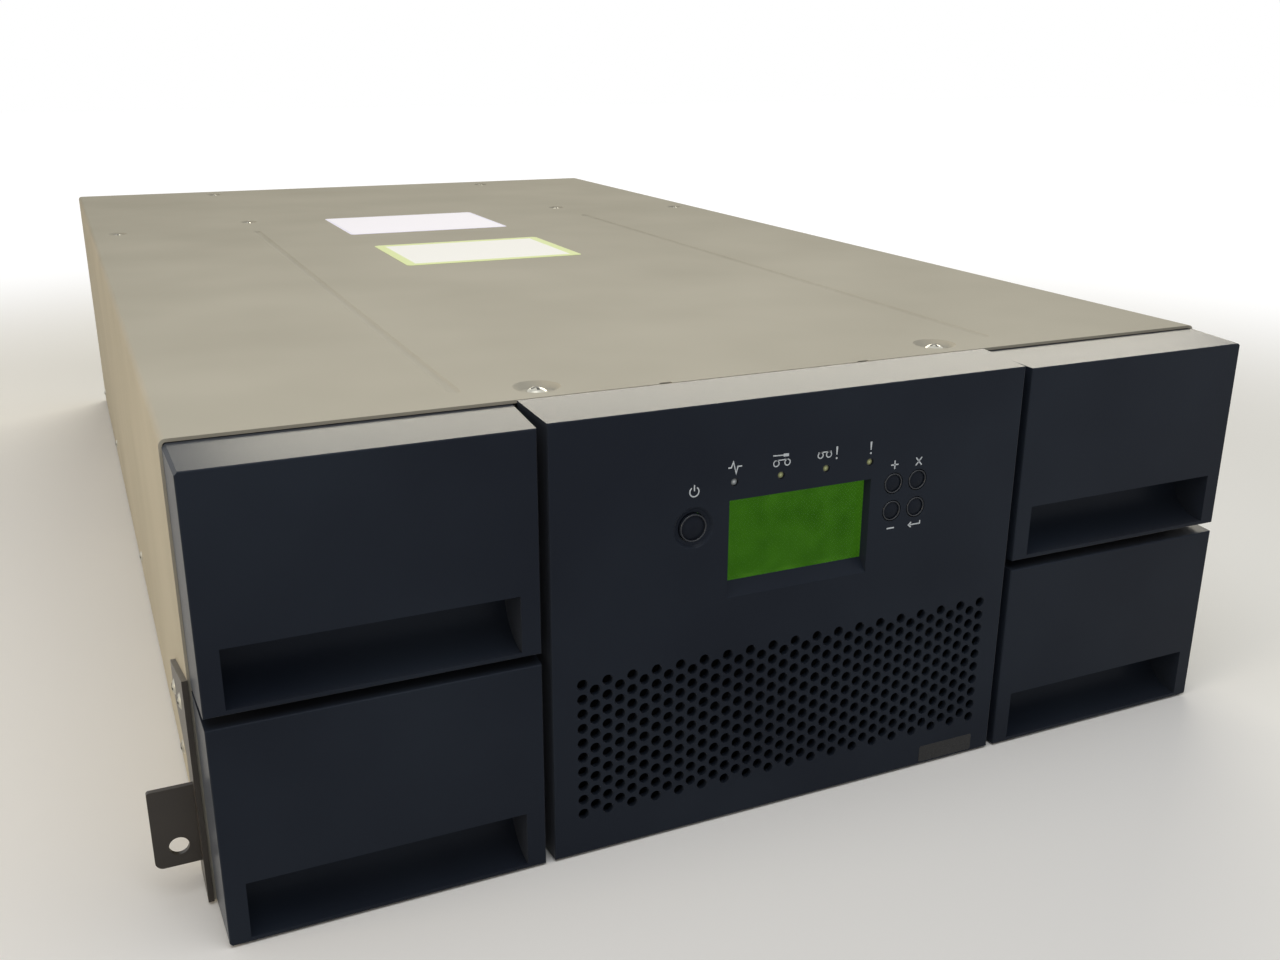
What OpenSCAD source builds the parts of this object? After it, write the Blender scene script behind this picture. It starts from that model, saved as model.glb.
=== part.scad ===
// Rack tape library: a four-unit cabinet with four pull-out magazines, a robot that
// travels in the aisle between them, two tape drives, a power supply and a controller.
// X runs to the right, Y to the back, Z up. The origin is under the middle of the cabinet.

/* [Cabinet] */
// Width across the cabinet's sides
cabinet_w = 447; // [440:1:450]
// Height of the cabinet
cabinet_h = 175; // [174:0.5:178]
// Length of the top cover
cover_l = 757.5; // [750:0.5:790]
// Sheet thickness of the top cover
cover_t = 1.2; // [0.8:0.1:1.5]
// Outside bend radius of the top cover
cover_bend_r = 2.4; // [2:0.1:4]
// Height of the cover's lower edge above the floor
cover_lift = 1; // [0.5:0.1:2]
// Sheet thickness of the base pan
pan_t = 1.5; // [1:0.1:1.8]
// Height of the base pan's folded sides
pan_side_h = 30; // [20:1:40]
// Distance from the bezels' front to the cover's front edge
front_zone = 28.5; // [27:0.5:32]
// How far the handles stand out behind the cover
rear_reach = 14; // [12:0.5:20]
// Sheet thickness of the frames, bays and panels inside
frame_t = 1.5; // [1:0.1:1.8]

/* [Cover details] */
// Distance of the pressed beads from the middle
bead_x = 120; // [105:1:130]
// Width of a pressed bead
bead_w = 5; // [3:0.5:8]
// Depth of a pressed bead
bead_d = 0.7; // [0.4:0.1:1]
// Distance from the cover's front edge to a bead
bead_start = 17.5; // [15:0.5:40]
// Length of a bead
bead_l = 468; // [400:1:480]
// Diameter of a front screw dimple
dimple_d = 18; // [15:0.5:20]
// Depth of a front screw dimple
dimple_depth = 2.2; // [1.8:0.1:2.4]
// Distance of the front screws from the middle
front_screw_x = 90; // [70:1:100]
// Distance of the front screws from the cover's front edge
front_screw_y = 15; // [14:0.5:18]
// Distance of the cage screws from the middle
cage_screw_x = 118; // [100:1:122]
// Distances of the cage screws from the cover's rear edge
cage_screw_y = [25, 220];
// Distance of the bay screws from the middle
bay_screw_x = 207; // [200:1:210]
// Distance of the bay screws from the cover's rear edge
bay_screw_y = 251; // [245:1:260]
// Diameter of a screw's shank
screw_d = 4; // [3:0.5:5]
// Diameter of a pan screw's head
screw_head_d = 7.6; // [6:0.2:9]
// Height of a pan screw's head
screw_head_h = 2; // [1.2:0.1:2.2]
// Width of the notches in the cover's front edge
notch_w = 5; // [3:0.5:8]
// Distance of the notches from the middle
notch_x = 44; // [30:1:60]

/* [Rack brackets] */
// Distance between the two ear holes
ear_hole_spacing = 465.1; // [464:0.1:466]
// Diameter of an ear hole
ear_hole_d = 7; // [6:0.1:8]
// Height of the ear holes
ear_hole_z = 22.2; // [20:0.1:25]
// Overall width across the ears
ear_span = 482.6; // [480:0.1:484]
// Height of an ear
ear_h = 31.5; // [28:0.5:34]
// Height of an ear's lower edge
ear_z = 14.3; // [12:0.1:16]
// Distance from the bezels' front to the ears
ear_y = 35; // [32:0.5:40]
// Thickness of the bracket's plate
bracket_t = 2; // [1.5:0.1:3]

/* [Bezels] */
// Width of the centre bezel
centre_w = 204.6; // [200:0.2:206]
// Gap between the centre bezel and a magazine bezel
bezel_gap = 3.7; // [3:0.1:5]
// How far a magazine bezel stands in from the cabinet's side
bezel_inset = 1.8; // [1:0.1:3]
// Height of the bezels' lower edge
bezel_z = 0.6; // [0.4:0.1:2]
// Distance from the cabinet's top down to the centre bezel's top
bezel_top_gap = 1.4; // [1:0.1:3]
// Gap between the upper and the lower magazine bezel
row_gap = 4.2; // [3.6:0.1:5]
// How much higher than the magazine bezels the centre bezel reaches
centre_rise = 1.2; // [0:0.1:1.6]
// Depth of a magazine bezel
bezel_d = 24.5; // [24:0.1:25.5]
// Gap between the centre bezel and the cover
cover_line = 0.8; // [0.5:0.1:1.2]
// Wall of the bezel mouldings
bezel_wall = 2.4; // [2:0.1:2.8]
// Gap between a magazine bezel's skirt and the cover
skirt_gap = 1; // [0.8:0.1:2]
// Chamfer of the outer corners of a magazine bezel
bezel_corner = 1.2; // [0.8:0.1:2]
// Radius of the bezels' front edges
bezel_edge_r = 0.6; // [0.5:0.1:1.2]
// How far a bezel's sides lean out from front to back
side_draft = 0.9; // [0:0.1:1]

/* [Finger recess] */
// Distance from the bezel's side to the recess
recess_margin = 7.3; // [6:0.1:10]
// Height of the recess
recess_h = 21.8; // [18:0.1:24]
// Depth of the recess
recess_d = 19; // [17:0.1:20]
// Material under the recess
recess_lip = 1.8; // [1.6:0.1:3]
// Wall around the recess
recess_wall = 1.8; // [1.2:0.1:2.2]

/* [Grille] */
// Diameter of a grille hole
grille_hole_d = 4.3; // [3:0.1:4.4]
// Distance between the columns of holes
grille_pitch_x = 5.03; // [4.95:0.01:5.1]
// Distance between the holes of a column
grille_pitch_z = 6.07; // [5.5:0.01:6.1]
// Number of columns of holes
grille_columns = 37; // [21:2:37]
// Number of holes in a long column
grille_rows = 10; // [6:1:10]
// Height of the lowest holes
grille_z = 18.1; // [16:0.1:20]

/* [Operator panel] */
// Middle of the display across the bezel
display_x = -0.25; // [-4:0.05:4]
// Distance from the centre bezel's top down to the display recess's lower edge
display_drop = 76.9; // [75:0.1:79]
// Width of the display recess
display_w = 62.3; // [58:0.1:64]
// Height of the display recess
display_h = 39.1; // [36:0.1:40]
// Depth of the display window behind the bezel's front
display_d = 4.6; // [4:0.1:6]
// Height of the sloping sill under the window
sill_h = 5; // [3:0.1:6]
// Thickness of the display window
window_t = 1.5; // [1:0.1:2]
// Place of the power button across the bezel
power_x = -46.1; // [-48:0.1:-44]
// Distance from the centre bezel's top down to the power button
power_drop = 46.3; // [44:0.1:49]
// Diameter of the power button
power_d = 10.8; // [9:0.1:12]
// Diameter of the dish around the power button
power_dish_d = 16.5; // [15:0.1:18]
// Depth of the dish around the power button
power_dish_depth = 1.3; // [0.8:0.1:1.6]
// Left column of keys
key_x = 41.6; // [39:0.1:46]
// Distance from the centre bezel's top down to the lower row of keys
key_drop = 52.5; // [50:0.1:55]
// Distance between the keys
key_pitch = 11.4; // [10.5:0.1:12]
// Diameter of a key
key_d = 8.2; // [6:0.1:9]
// Radial gap between a key and its hole
key_gap = 0.35; // [0.3:0.05:0.6]
// How far a key can be pressed
key_travel = 1.2; // [0.8:0.1:1.4]
// First status lamp across the bezel
lamp_x = -29.5; // [-32:0.1:-26]
// Distance from the centre bezel's top down to the status lamps
lamp_drop = 30.8; // [28:0.1:33]
// Distance between the lamps
lamp_pitch = 19.8; // [18:0.1:21]
// Diameter of a lamp
lamp_d = 3.2; // [2:0.1:4]
// Thickness of the panel board
board_t = 1.6; // [1:0.1:2]

/* [Magazines] */
// Length of a tape cartridge
cartridge_l = 105.4; // [104:0.1:106]
// Width of a tape cartridge
cartridge_w = 102; // [100:0.1:102.5]
// Free height above a cartridge in its slot
slot_clear = 1.5; // [1.2:0.1:2]
// Distance between the slots along a magazine
slot_pitch = 106; // [105.5:0.1:108]
// Height of a magazine that isn't taken by its rows of slots
rows_margin = 11.2; // [11:0.1:13]
// Number of slots along a magazine
slot_columns = 4; // [3:1:4]
// Number of rows in a magazine
slot_rows = 3; // [2:1:3]
// Length of the magazine's nose, from its bezel to the first slot
nose_l = 52.5; // [48:0.5:56]
// How far the cartridges stand out of the tray
cartridge_proud = 2; // [1:0.1:3]
// Free space behind a cartridge
slot_back_gap = 0.5; // [0.3:0.1:0.9]
// Wall of a magazine tray
tray_wall = 2; // [1.5:0.1:2.5]
// Thickness of a shelf between the rows
shelf_t = 1.2; // [1:0.1:1.5]
// Thickness of a divider between slots
divider_t = 2.5; // [2:0.1:3]
// Height from the bezel's lower edge to the lowest cartridges
slot_rise = 10.4; // [10:0.1:11]
// Gap of a sliding magazine
slide_gap = 0.3; // [0.2:0.05:0.5]
// Thickness of the guide ribs on a tray
guide_rib = 2; // [1.5:0.1:2.5]
// Height of the bay's inner guide lips
guide_lip_h = 4; // [3:0.1:5]

/* [Robot] */
// Distance from the cartridges' inner ends to the middle of a floor rail
rail_clear = 10.6; // [10.1:0.1:12]
// Width and height of a floor rail
rail_size = 5; // [4:0.1:5]
// Gap between a rail and the carriage
rail_gap = 0.3; // [0.2:0.05:0.4]
// Wall of the carriage's shoes
shoe_wall = 2.5; // [2:0.1:3]
// Distance from the turntable's axis to the lift columns, across and along
column_at = [84, 67];
// Diameter of a lift column
column_d = 8; // [6:0.1:9]
// Radial gap of the elevator on its columns and of the turntable on its pivot
running_gap = 0.05; // [0.03:0.01:0.09]
// Place of the lift screw from the turntable's axis, across and along
screw_at = [64, 71];
// Diameter of the turntable's pivot
pivot_d = 12; // [8:0.5:16]
// Radius of the belt pulleys
pulley_r = 5; // [4:0.1:5.2]
// Thickness of the belt
belt_t = 1; // [0.6:0.1:1]
// Width of the belt
belt_w = 5; // [4:0.1:6]

/* [Drives and modules] */
// Width inside the drive cage
cage_w = 152; // [150:0.5:156]
// Free height above the upper drive bay
bay_top_gap = 2.3; // [1.5:0.1:4]
// Width of a tape drive
drive_w = 146; // [140:0.5:148]
// Free height above a drive in its bay
drive_clear = 6; // [4:0.5:12]
// Length of a tape drive
drive_l = 205; // [190:1:220]
// Height of the drive bays' floor
cage_floor_z = 6; // [5:0.1:7]
// Height of the power supply
supply_h = 86; // [80:0.5:95]
// Length of the power supply
supply_l = 220; // [200:1:230]
// Height of the controller module
controller_h = 58; // [50:0.5:70]
// Length of the controller module
controller_l = 160; // [140:1:200]
// Diameter of the power supply's fan
fan_d = 56; // [50:0.5:58]
// Sheet thickness of the module housings
module_t = 1; // [0.8:0.1:1.4]
// Gap between a module and its cut-out
module_gap = 0.6; // [0.4:0.1:1]
// Overlap of a module's face on the rear panel
face_lap = 3; // [2:0.1:3]

/* [Hidden] */
$fn = 48;
cut = 1; // how far a cutter runs past a face

// Places along the cabinet
cabinet_l = front_zone + cover_l + rear_reach;
bezel_y = -cabinet_l / 2;
cover_y = bezel_y + front_zone;
cover_end_y = cover_y + cover_l;
frame_inset = 1.5;
frame_y = cover_y + frame_inset;
panel_end_y = cover_end_y - 1;
panel_y = panel_end_y - frame_t;

// Places across and up the cabinet
side_x = cabinet_w / 2;
inner_x = side_x - cover_t;
inner_z = cabinet_h - cover_t;

// Bezels and magazines, measured on the right-hand side
bezel_x0 = centre_w / 2 + bezel_gap;
bezel_x1 = side_x - bezel_inset;
bezel_h = (cabinet_h - bezel_top_gap - centre_rise - row_gap - bezel_z) / 2;
upper_rise = bezel_h + row_gap;
centre_z1 = bezel_z + upper_rise + bezel_h + centre_rise;
board_z0 = centre_z1 - 89.6;
board_z1 = centre_z1 - 21.6;
row_pitch = (bezel_h - rows_margin) / slot_rows;
cartridge_t = row_pitch - shelf_t - slot_clear;
bay_wall_x = inner_x - pan_t - frame_t;
tray_x1 = bay_wall_x - slide_gap - guide_rib;
cartridge_x1 = tray_x1 - tray_wall - slot_back_gap;
cartridge_x0 = cartridge_x1 - cartridge_l;
tray_x0 = cartridge_x0 + cartridge_proud;
tray_y = bezel_y + bezel_d;
slots_y = tray_y + nose_l;
slots_end_y = slots_y + slot_columns * slot_pitch;
slot_z = bezel_z + slot_rise;
tray_z = slot_z - tray_wall;
tray_end_z = slot_z + slot_rows * row_pitch - shelf_t;
bay_floor_z = pan_t + frame_t;
bay_end_y = slots_end_y + 2 * divider_t;
lip_t = 1.5;
lip_x = tray_x0 - slide_gap - lip_t;

// Robot, measured from the turntable's axis at its front stop
robot_y = slots_y + slot_pitch / 2;
robot_travel = (slot_columns - 1) * slot_pitch;
rail_x = cartridge_x0 - rail_clear;
shoe_x0 = rail_x - rail_size / 2 - rail_gap - shoe_wall;
shoe_x1 = rail_x + rail_size / 2 + rail_gap + shoe_wall;
shoe_lift = 0.7;
shoe_z = pan_t + shoe_lift;
shoe_end_z = pan_t + rail_size + rail_gap + 2.2;
carriage_front = 80;
carriage_back = 78;
cross_t = 3;
cross_z = shoe_z + 0.8;
lift_t = 3;
table_gap = 0.3;
table_z = cross_z + lift_t + table_gap;
table_t = slot_z - table_z - 1.7;
block_z = cross_z + cross_t + 0.5;
block_h = 22;
block_x0 = 76;
block_x1 = shoe_x0 - 1.2;
top_bar_z = inner_z - 3.2;
top_bar_t = 2.6;
pulley_z = tray_end_z + 4.5; // between the lower and the upper magazines
belt_x = -rail_x;
belt_front_y = robot_y - carriage_front - 6;
belt_back_y = robot_y + robot_travel + carriage_back - 8;
motor_plate_z = pulley_z + belt_w + 0.8;
motor_plate_t = 1.2;

// Drives and modules
cage_x = cage_w / 2 + frame_t;
cage_y = robot_y + robot_travel + carriage_back + 5;
drive_bay_h = (inner_z - cage_floor_z - frame_t - bay_top_gap) / 2;
bay_pitch = drive_bay_h + frame_t;
drive_h = drive_bay_h - drive_clear;
module_y = panel_end_y;
face_t = 1.5;
face_y = module_y + face_t;
grip_t = 5;
side_bay_x0 = cage_x + 4;
side_bay_x1 = bay_wall_x - 3;

// --- helpers ---------------------------------------------------------------

// Extrude a shape drawn in X and Z along Y, from y0 over a length l
module along_y(y0, l) translate([0, y0 + l, 0]) rotate([90, 0, 0]) linear_extrude(l) children();

// Extrude a shape drawn in Y and Z along X, from x0 over a length l
module along_x(x0, l) translate([x0, 0, 0]) rotate([90, 0, 90]) linear_extrude(l) children();

// A box from its low corner to its high corner
module box(lo, hi) translate(lo) cube(hi - lo);

// A flat rectangle from its low corner to its high corner
module rect(lo, hi) translate(lo) square(hi - lo);

// A round rod along Y
module rod_y(at, d, l) translate(at) rotate([-90, 0, 0]) cylinder(d = d, h = l);

// A round rod along X
module rod_x(at, d, l) translate(at) rotate([0, 90, 0]) cylinder(d = d, h = l);

// The corner left over outside a round of radius r; sx and sz point out of the corner
module corner_waste(at, r, sx, sz)
    translate([at.x - (sx > 0 ? r : 0), at.y - (sz > 0 ? r : 0)])
        difference() {
            translate([sx > 0 ? 0 : -cut, sz > 0 ? 0 : -cut]) square(r + cut);
            translate([sx > 0 ? 0 : r, sz > 0 ? 0 : r]) circle(r);
        }

// An upright slot with round ends, standing on the origin
module slot_y(w, h) {
    rect([-w / 2, w / 2], [w / 2, h - w / 2]);
    for (z = [w / 2, h - w / 2]) translate([0, z]) circle(d = w);
}

// A rectangle whose corners have radii r = [lower left, lower right, upper right, upper left]
module round_rect(lo, hi, r) difference() {
    rect(lo, hi);
    if (r[0] > 0) corner_waste(lo, r[0], -1, -1);
    if (r[1] > 0) corner_waste([hi.x, lo.y], r[1], 1, -1);
    if (r[2] > 0) corner_waste(hi, r[2], 1, 1);
    if (r[3] > 0) corner_waste([lo.x, hi.y], r[3], -1, 1);
}

// The waste along a front edge that runs along X; up is 1 for an upper edge, -1 for a lower one
module edge_waste_x(x0, x1, y, z, r, up)
    along_x(x0 - cut, x1 - x0 + 2 * cut) corner_waste([y, z], r, -1, up);

// The waste along a front edge that runs along Z; side is 1 for a right-hand edge
module edge_waste_z(z0, z1, x, y, r, side)
    translate([0, 0, z0 - cut]) linear_extrude(z1 - z0 + 2 * cut) corner_waste([x, y], r, side, -1);

// Round all four front edges of the block between two corners
module front_edge_waste(x0, x1, z0, z1, y, r) {
    edge_waste_x(x0, x1, y, z0, r, -1);
    edge_waste_x(x0, x1, y, z1, r, 1);
    edge_waste_z(z0, z1, x0, y, r, -1);
    edge_waste_z(z0, z1, x1, y, r, 1);
}

// Both the shape and its mirror image across the middle
module both_sides() {
    children();
    mirror([1, 0, 0]) children();
}

// A pan screw standing on z, head up
module pan_screw(at, head_d, head_h, length) translate(at) {
    intersection() {
        cylinder(d = head_d, h = head_h);
        translate([0, 0, head_h - head_d * 0.75]) sphere(r = head_d * 0.75);
    }
    translate([0, 0, -length]) cylinder(d = screw_d, h = length);
}

// --- cabinet ---------------------------------------------------------------

// Places of the small cover screws: cage screws and bay screws, right-hand side
small_screws = [
    for (y = cage_screw_y) [cage_screw_x, cover_end_y - y],
    [bay_screw_x, cover_end_y - bay_screw_y]
];
small_dimple_d = 12;
small_dimple_depth = 1.4;
small_head_d = 6.4;
small_head_h = 1.2;
dimple_slope = 2.4;
screw_play = 0.3; // radial gap between a screw and the cover
front_screw_l = 5;
small_screw_l = 4;

pan_inset = 2;
side_screw_z = 15.3;
side_screw_y = [cover_y + 90, cover_y + 320, cover_y + 560, cover_y + 720];

module base_pan() color([0.2, 0.2, 0.2]) {
    difference() {
        union() {
            box([-inner_x, cover_y + pan_inset, 0], [inner_x, cover_end_y - pan_inset, pan_t]);
            both_sides() box([inner_x - pan_t, frame_y + frame_t, 0], [inner_x, panel_y, pan_side_h]);
        }
        both_sides() for (y = side_screw_y)
            rod_x([inner_x - pan_t - cut, y, side_screw_z], screw_d, pan_t + 2 * cut);
    }
}

// The cup of a screw dimple, hung in a round hole of the cover
module dimple_cup(d, depth) rotate_extrude() polygon([
    [screw_d / 2 + screw_play, -depth - cover_t], [d / 2 - dimple_slope, -depth - cover_t],
    [d / 2, -cover_t], [d / 2, 0], [d / 2 - dimple_slope, -depth], [screw_d / 2 + screw_play, -depth]
]);

module cover_section() difference() {
    round_rect([-side_x, cover_lift], [side_x, cabinet_h], [0, 0, cover_bend_r, cover_bend_r]);
    round_rect([-inner_x, -cut], [inner_x, inner_z],
               [0, 0, cover_bend_r - cover_t, cover_bend_r - cover_t]);
}

bead_r = (bead_w * bead_w / 4 + bead_d * bead_d) / (2 * bead_d); // radius of the groove's section
notch_l = 1.5;

// A round bar with ball ends over a bead: it dips bead_d into the cover when r is bead_r
module bead_bar(r) translate([bead_x, cover_y + bead_start + bead_w / 2, cabinet_h - bead_d + bead_r]) {
    rod_y([0, 0, 0], 2 * r, bead_l - bead_w);
    for (y = [0, bead_l - bead_w]) translate([0, y, 0]) sphere(r);
}

module top_cover() color([0.36, 0.35, 0.32]) {
    difference() {
        union() {
            along_y(cover_y, cover_l) cover_section();
            both_sides() intersection() {
                bead_bar(bead_r + cover_t);
                box([bead_x - bead_w, cover_y, inner_z - bead_w],
                    [bead_x + bead_w, cover_end_y, inner_z + cover_t / 2]);
            }
        }
        both_sides() {
            bead_bar(bead_r);
            translate([front_screw_x, cover_y + front_screw_y, inner_z - cut])
                cylinder(d = dimple_d, h = cover_t + 2 * cut);
            for (at = small_screws) translate([at.x, at.y, inner_z - cut])
                cylinder(d = small_dimple_d, h = cover_t + 2 * cut);
            for (y = side_screw_y)
                rod_x([inner_x - cut, y, side_screw_z], screw_d, cover_t + 2 * cut);
            for (at = bracket_screws)
                rod_x([inner_x - cut, at.x, at.y], screw_d, cover_t + 2 * cut);
            box([notch_x - notch_w / 2, cover_y - cut, inner_z - cut],
                [notch_x + notch_w / 2, cover_y + notch_l, cabinet_h + cut]);
        }
    }
    both_sides() {
        translate([front_screw_x, cover_y + front_screw_y, cabinet_h])
            dimple_cup(dimple_d, dimple_depth);
        for (at = small_screws) translate([at.x, at.y, cabinet_h])
            dimple_cup(small_dimple_d, small_dimple_depth);
    }
}

module cover_screws() color([0.75, 0.75, 0.72]) both_sides() {
    pan_screw([front_screw_x, cover_y + front_screw_y, cabinet_h - dimple_depth],
              screw_head_d, screw_head_h, front_screw_l);
    for (at = small_screws)
        pan_screw([at.x, at.y, cabinet_h - small_dimple_depth], small_head_d, small_head_h, small_screw_l);
}

// Screws of the cover's sides, and the screws that hold the rack brackets
module side_screws() color([0.72, 0.72, 0.7]) both_sides() {
    for (y = side_screw_y) translate([side_x, y, side_screw_z]) rotate([0, 90, 0])
        pan_screw([0, 0, 0], small_head_d, small_head_h, cover_t + pan_t);
    for (at = bracket_screws) translate([side_x + bracket_t, at.x, at.y]) rotate([0, 90, 0])
        pan_screw([0, 0, 0], small_head_d, small_head_h, bracket_t + cover_t + bracket_nut_t);
}

// The rack bracket's side plate, drawn in Y and Z
bracket_y = bezel_y + ear_y;
bracket_y0 = bracket_y - 7.5;
bracket_y1 = bracket_y + 58;
bracket_foot_y = bracket_y + 14;
bracket_screws = [[bracket_foot_y, 72], [bracket_y + 46, 62]];
bracket_top_z = 90;
bracket_tail_z = [54, 68];
bracket_nut_t = 0.8;
ear_r = [0, 3, 1, 0];

module bracket_plate() difference() {
    polygon([
        [bracket_y0, cover_lift], [bracket_foot_y, cover_lift], [bracket_foot_y + 6, ear_z + ear_h],
        [bracket_y1, bracket_tail_z[0]], [bracket_y1, bracket_tail_z[1]], [bracket_y0, bracket_top_z]
    ]);
    for (at = bracket_screws) translate(at) circle(d = screw_d);
}

module rack_bracket() difference() {
    union() {
        along_x(side_x, bracket_t) bracket_plate();
        along_y(bracket_y, bracket_t)
            round_rect([side_x, ear_z], [ear_span / 2, ear_z + ear_h], ear_r);
    }
    rod_y([ear_hole_spacing / 2, bracket_y - cut, ear_hole_z], ear_hole_d, bracket_t + 2 * cut);
}

module right_rack_bracket() color([0.13, 0.12, 0.11]) rack_bracket();
module left_rack_bracket() color([0.13, 0.12, 0.11]) mirror([1, 0, 0]) rack_bracket();

window_side = 0.8; // room beside the cartridges, which stand out of their tray
window_top = 1.5; // room above a tray

// Window in the front frame for one magazine, with room for its slide
module magazine_window(rise)
    rect([lip_x - window_side, bay_floor_z + rise], [bay_wall_x, tray_end_z + window_top + rise]);

tab_z = cabinet_h - dimple_depth - cover_t - frame_t;
tab_half_w = 11;
tab_l = 24;
air_x = 80; // half width of the opening behind the grille
air_z = [grille_z - 8, board_z0];
cable_x = 60; // half width of the opening behind the panel board
cable_z = board_z0 + 8;
opening_r = [4, 4, 4, 4];

// A panel across the whole cabinet, rounded to fit the cover's bends
module panel_outline()
    round_rect([-inner_x, pan_t], [inner_x, inner_z], [0, 0, cover_bend_r - cover_t, cover_bend_r - cover_t]);

module front_frame() color([0.12, 0.12, 0.13]) {
    along_y(frame_y, frame_t) difference() {
        panel_outline();
        both_sides() for (rise = [0, upper_rise]) magazine_window(rise);
        round_rect([-air_x, air_z[0]], [air_x, air_z[1]], opening_r);
        round_rect([-cable_x, cable_z], [cable_x, board_z1], opening_r);
    }
    both_sides() difference() {
        box([front_screw_x - tab_half_w, frame_y + frame_t, tab_z],
            [front_screw_x + tab_half_w, frame_y + tab_l, tab_z + frame_t]);
        translate([front_screw_x, cover_y + front_screw_y, tab_z - cut])
            cylinder(d = screw_d, h = frame_t + 2 * cut);
    }
}

// --- bezels ----------------------------------------------------------------

inside_r = 0.3;
rib_t = 1.6;
top_draft = bezel_top_gap; // the centre bezel's top meets the cover's height at its back edge

// The waste beyond one side of a drafted block, as Y and the way out: the side is straight along
// the front edge's round, then leans out by lean to the block's back
module draft_waste(at, depth, lean, out) {
    run = depth - bezel_edge_r;
    far = at + out * lean * (run + cut) / run;
    past = far + out * 2 * cut;
    polygon([[bezel_y - cut, at], [bezel_y + bezel_edge_r, at], [bezel_y + depth + cut, far],
             [bezel_y + depth + cut, past], [bezel_y - cut, past]]);
}

// A moulded block from its front outline lo to hi, in X and Z, with round front edges; lean is
// how far each side leans out, [left, right, bottom, top]
module drafted_block(lo, hi, depth, lean) {
    wide = [lo.x - lean[0] - cut, hi.x + lean[1] + cut];
    high = [lo.y - lean[2] - cut, hi.y + lean[3] + cut];
    difference() {
        box([wide[0], bezel_y, high[0]], [wide[1], bezel_y + depth, high[1]]);
        along_x(wide[0] - cut, wide[1] - wide[0] + 2 * cut) {
            draft_waste(lo.y, depth, lean[2], -1);
            draft_waste(hi.y, depth, lean[3], 1);
        }
        translate([0, 0, high[0] - cut]) linear_extrude(high[1] - high[0] + 2 * cut) mirror([1, -1]) {
            draft_waste(lo.x, depth, lean[0], -1);
            draft_waste(hi.x, depth, lean[1], 1);
        }
        front_edge_waste(lo.x, hi.x, lo.y, hi.y, bezel_y, bezel_edge_r);
    }
}

// The waste off the outer corner of a drafted block, along the corner's own lean
module corner_chamfer(at, depth, lean, up)
    translate([at.x, bezel_y, at.y]) rotate([up * atan(lean.y / depth), 0, -atan(lean.x / depth)])
        along_y(-cut, depth + 2 * cut)
            polygon([[-bezel_corner - cut, up * cut], [cut, up * cut], [cut, -up * (bezel_corner + cut)]]);

// One magazine bezel, right-hand side: a shell round a finger recess, with two ribs above the recess
module magazine_bezel(rise) {
    z0 = bezel_z + rise;
    z1 = z0 + bezel_h;
    upper = rise > 0;
    skirt_d = front_zone - skirt_gap;
    lean = [side_draft, side_draft, upper ? side_draft : 0, top_draft];
    recess_x0 = bezel_x0 + recess_margin;
    recess_x1 = bezel_x1 - recess_margin;
    recess_z = z0 + recess_lip;
    difference() {
        drafted_block([bezel_x0, z0], [bezel_x1, z1], skirt_d, lean);
        corner_chamfer([bezel_x1, upper ? z1 : z0], skirt_d, [lean[1], upper ? lean[3] : lean[2]], upper ? 1 : -1);
        difference() {
            along_y(bezel_y + bezel_wall, skirt_d) round_rect(
                [bezel_x0 + bezel_wall, z0 + recess_lip], [bezel_x1 - bezel_wall, z1 - bezel_wall],
                inside_r * [1, 1, 1, 1]);
            box([recess_x0 - recess_wall, bezel_y, z0],
                [recess_x1 + recess_wall, bezel_y + recess_d + recess_wall,
                 recess_z + recess_h + recess_wall]);
            for (i = [1, 2]) let (x = recess_x0 + i * (recess_x1 - recess_x0) / 3)
                box([x - rib_t / 2, bezel_y, z0], [x + rib_t / 2, bezel_y + bezel_d - 1, z1]);
        }
        box([tray_x0, tray_y, z0 + bezel_wall], [tray_x1, tray_y + bezel_wall + cut, tray_end_z + rise]);
        along_x(recess_x0, recess_x1 - recess_x0) recess_section(recess_z);
    }
}

// The recess in Y and Z: a box whose floor sweeps up into its back wall
module recess_section(z) {
    sweep_r = recess_d - 1;
    difference() {
        rect([bezel_y - cut, z], [bezel_y + recess_d, z + recess_h]);
        difference() {
            rect([bezel_y + recess_d - sweep_r, z - cut], [bezel_y + recess_d + cut, z + sweep_r]);
            translate([bezel_y + recess_d - sweep_r, z + sweep_r]) circle(sweep_r);
        }
    }
}

module upper_right_bezel() color([0.13, 0.15, 0.18]) magazine_bezel(upper_rise);
module lower_right_bezel() color([0.13, 0.15, 0.18]) magazine_bezel(0);
module upper_left_bezel() color([0.13, 0.15, 0.18]) mirror([1, 0, 0]) magazine_bezel(upper_rise);
module lower_left_bezel() color([0.13, 0.15, 0.18]) mirror([1, 0, 0]) magazine_bezel(0);

// Middles of the grille's holes: long columns and, half a pitch up, short ones
grille_x0 = -(grille_columns - 1) / 2 * grille_pitch_x;
grille_points = [
    for (i = [0:grille_columns - 1], j = [0:grille_rows - 1 - i % 2])
        [grille_x0 + i * grille_pitch_x, grille_z + (j + (i % 2) / 2) * grille_pitch_z]
];

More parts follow.
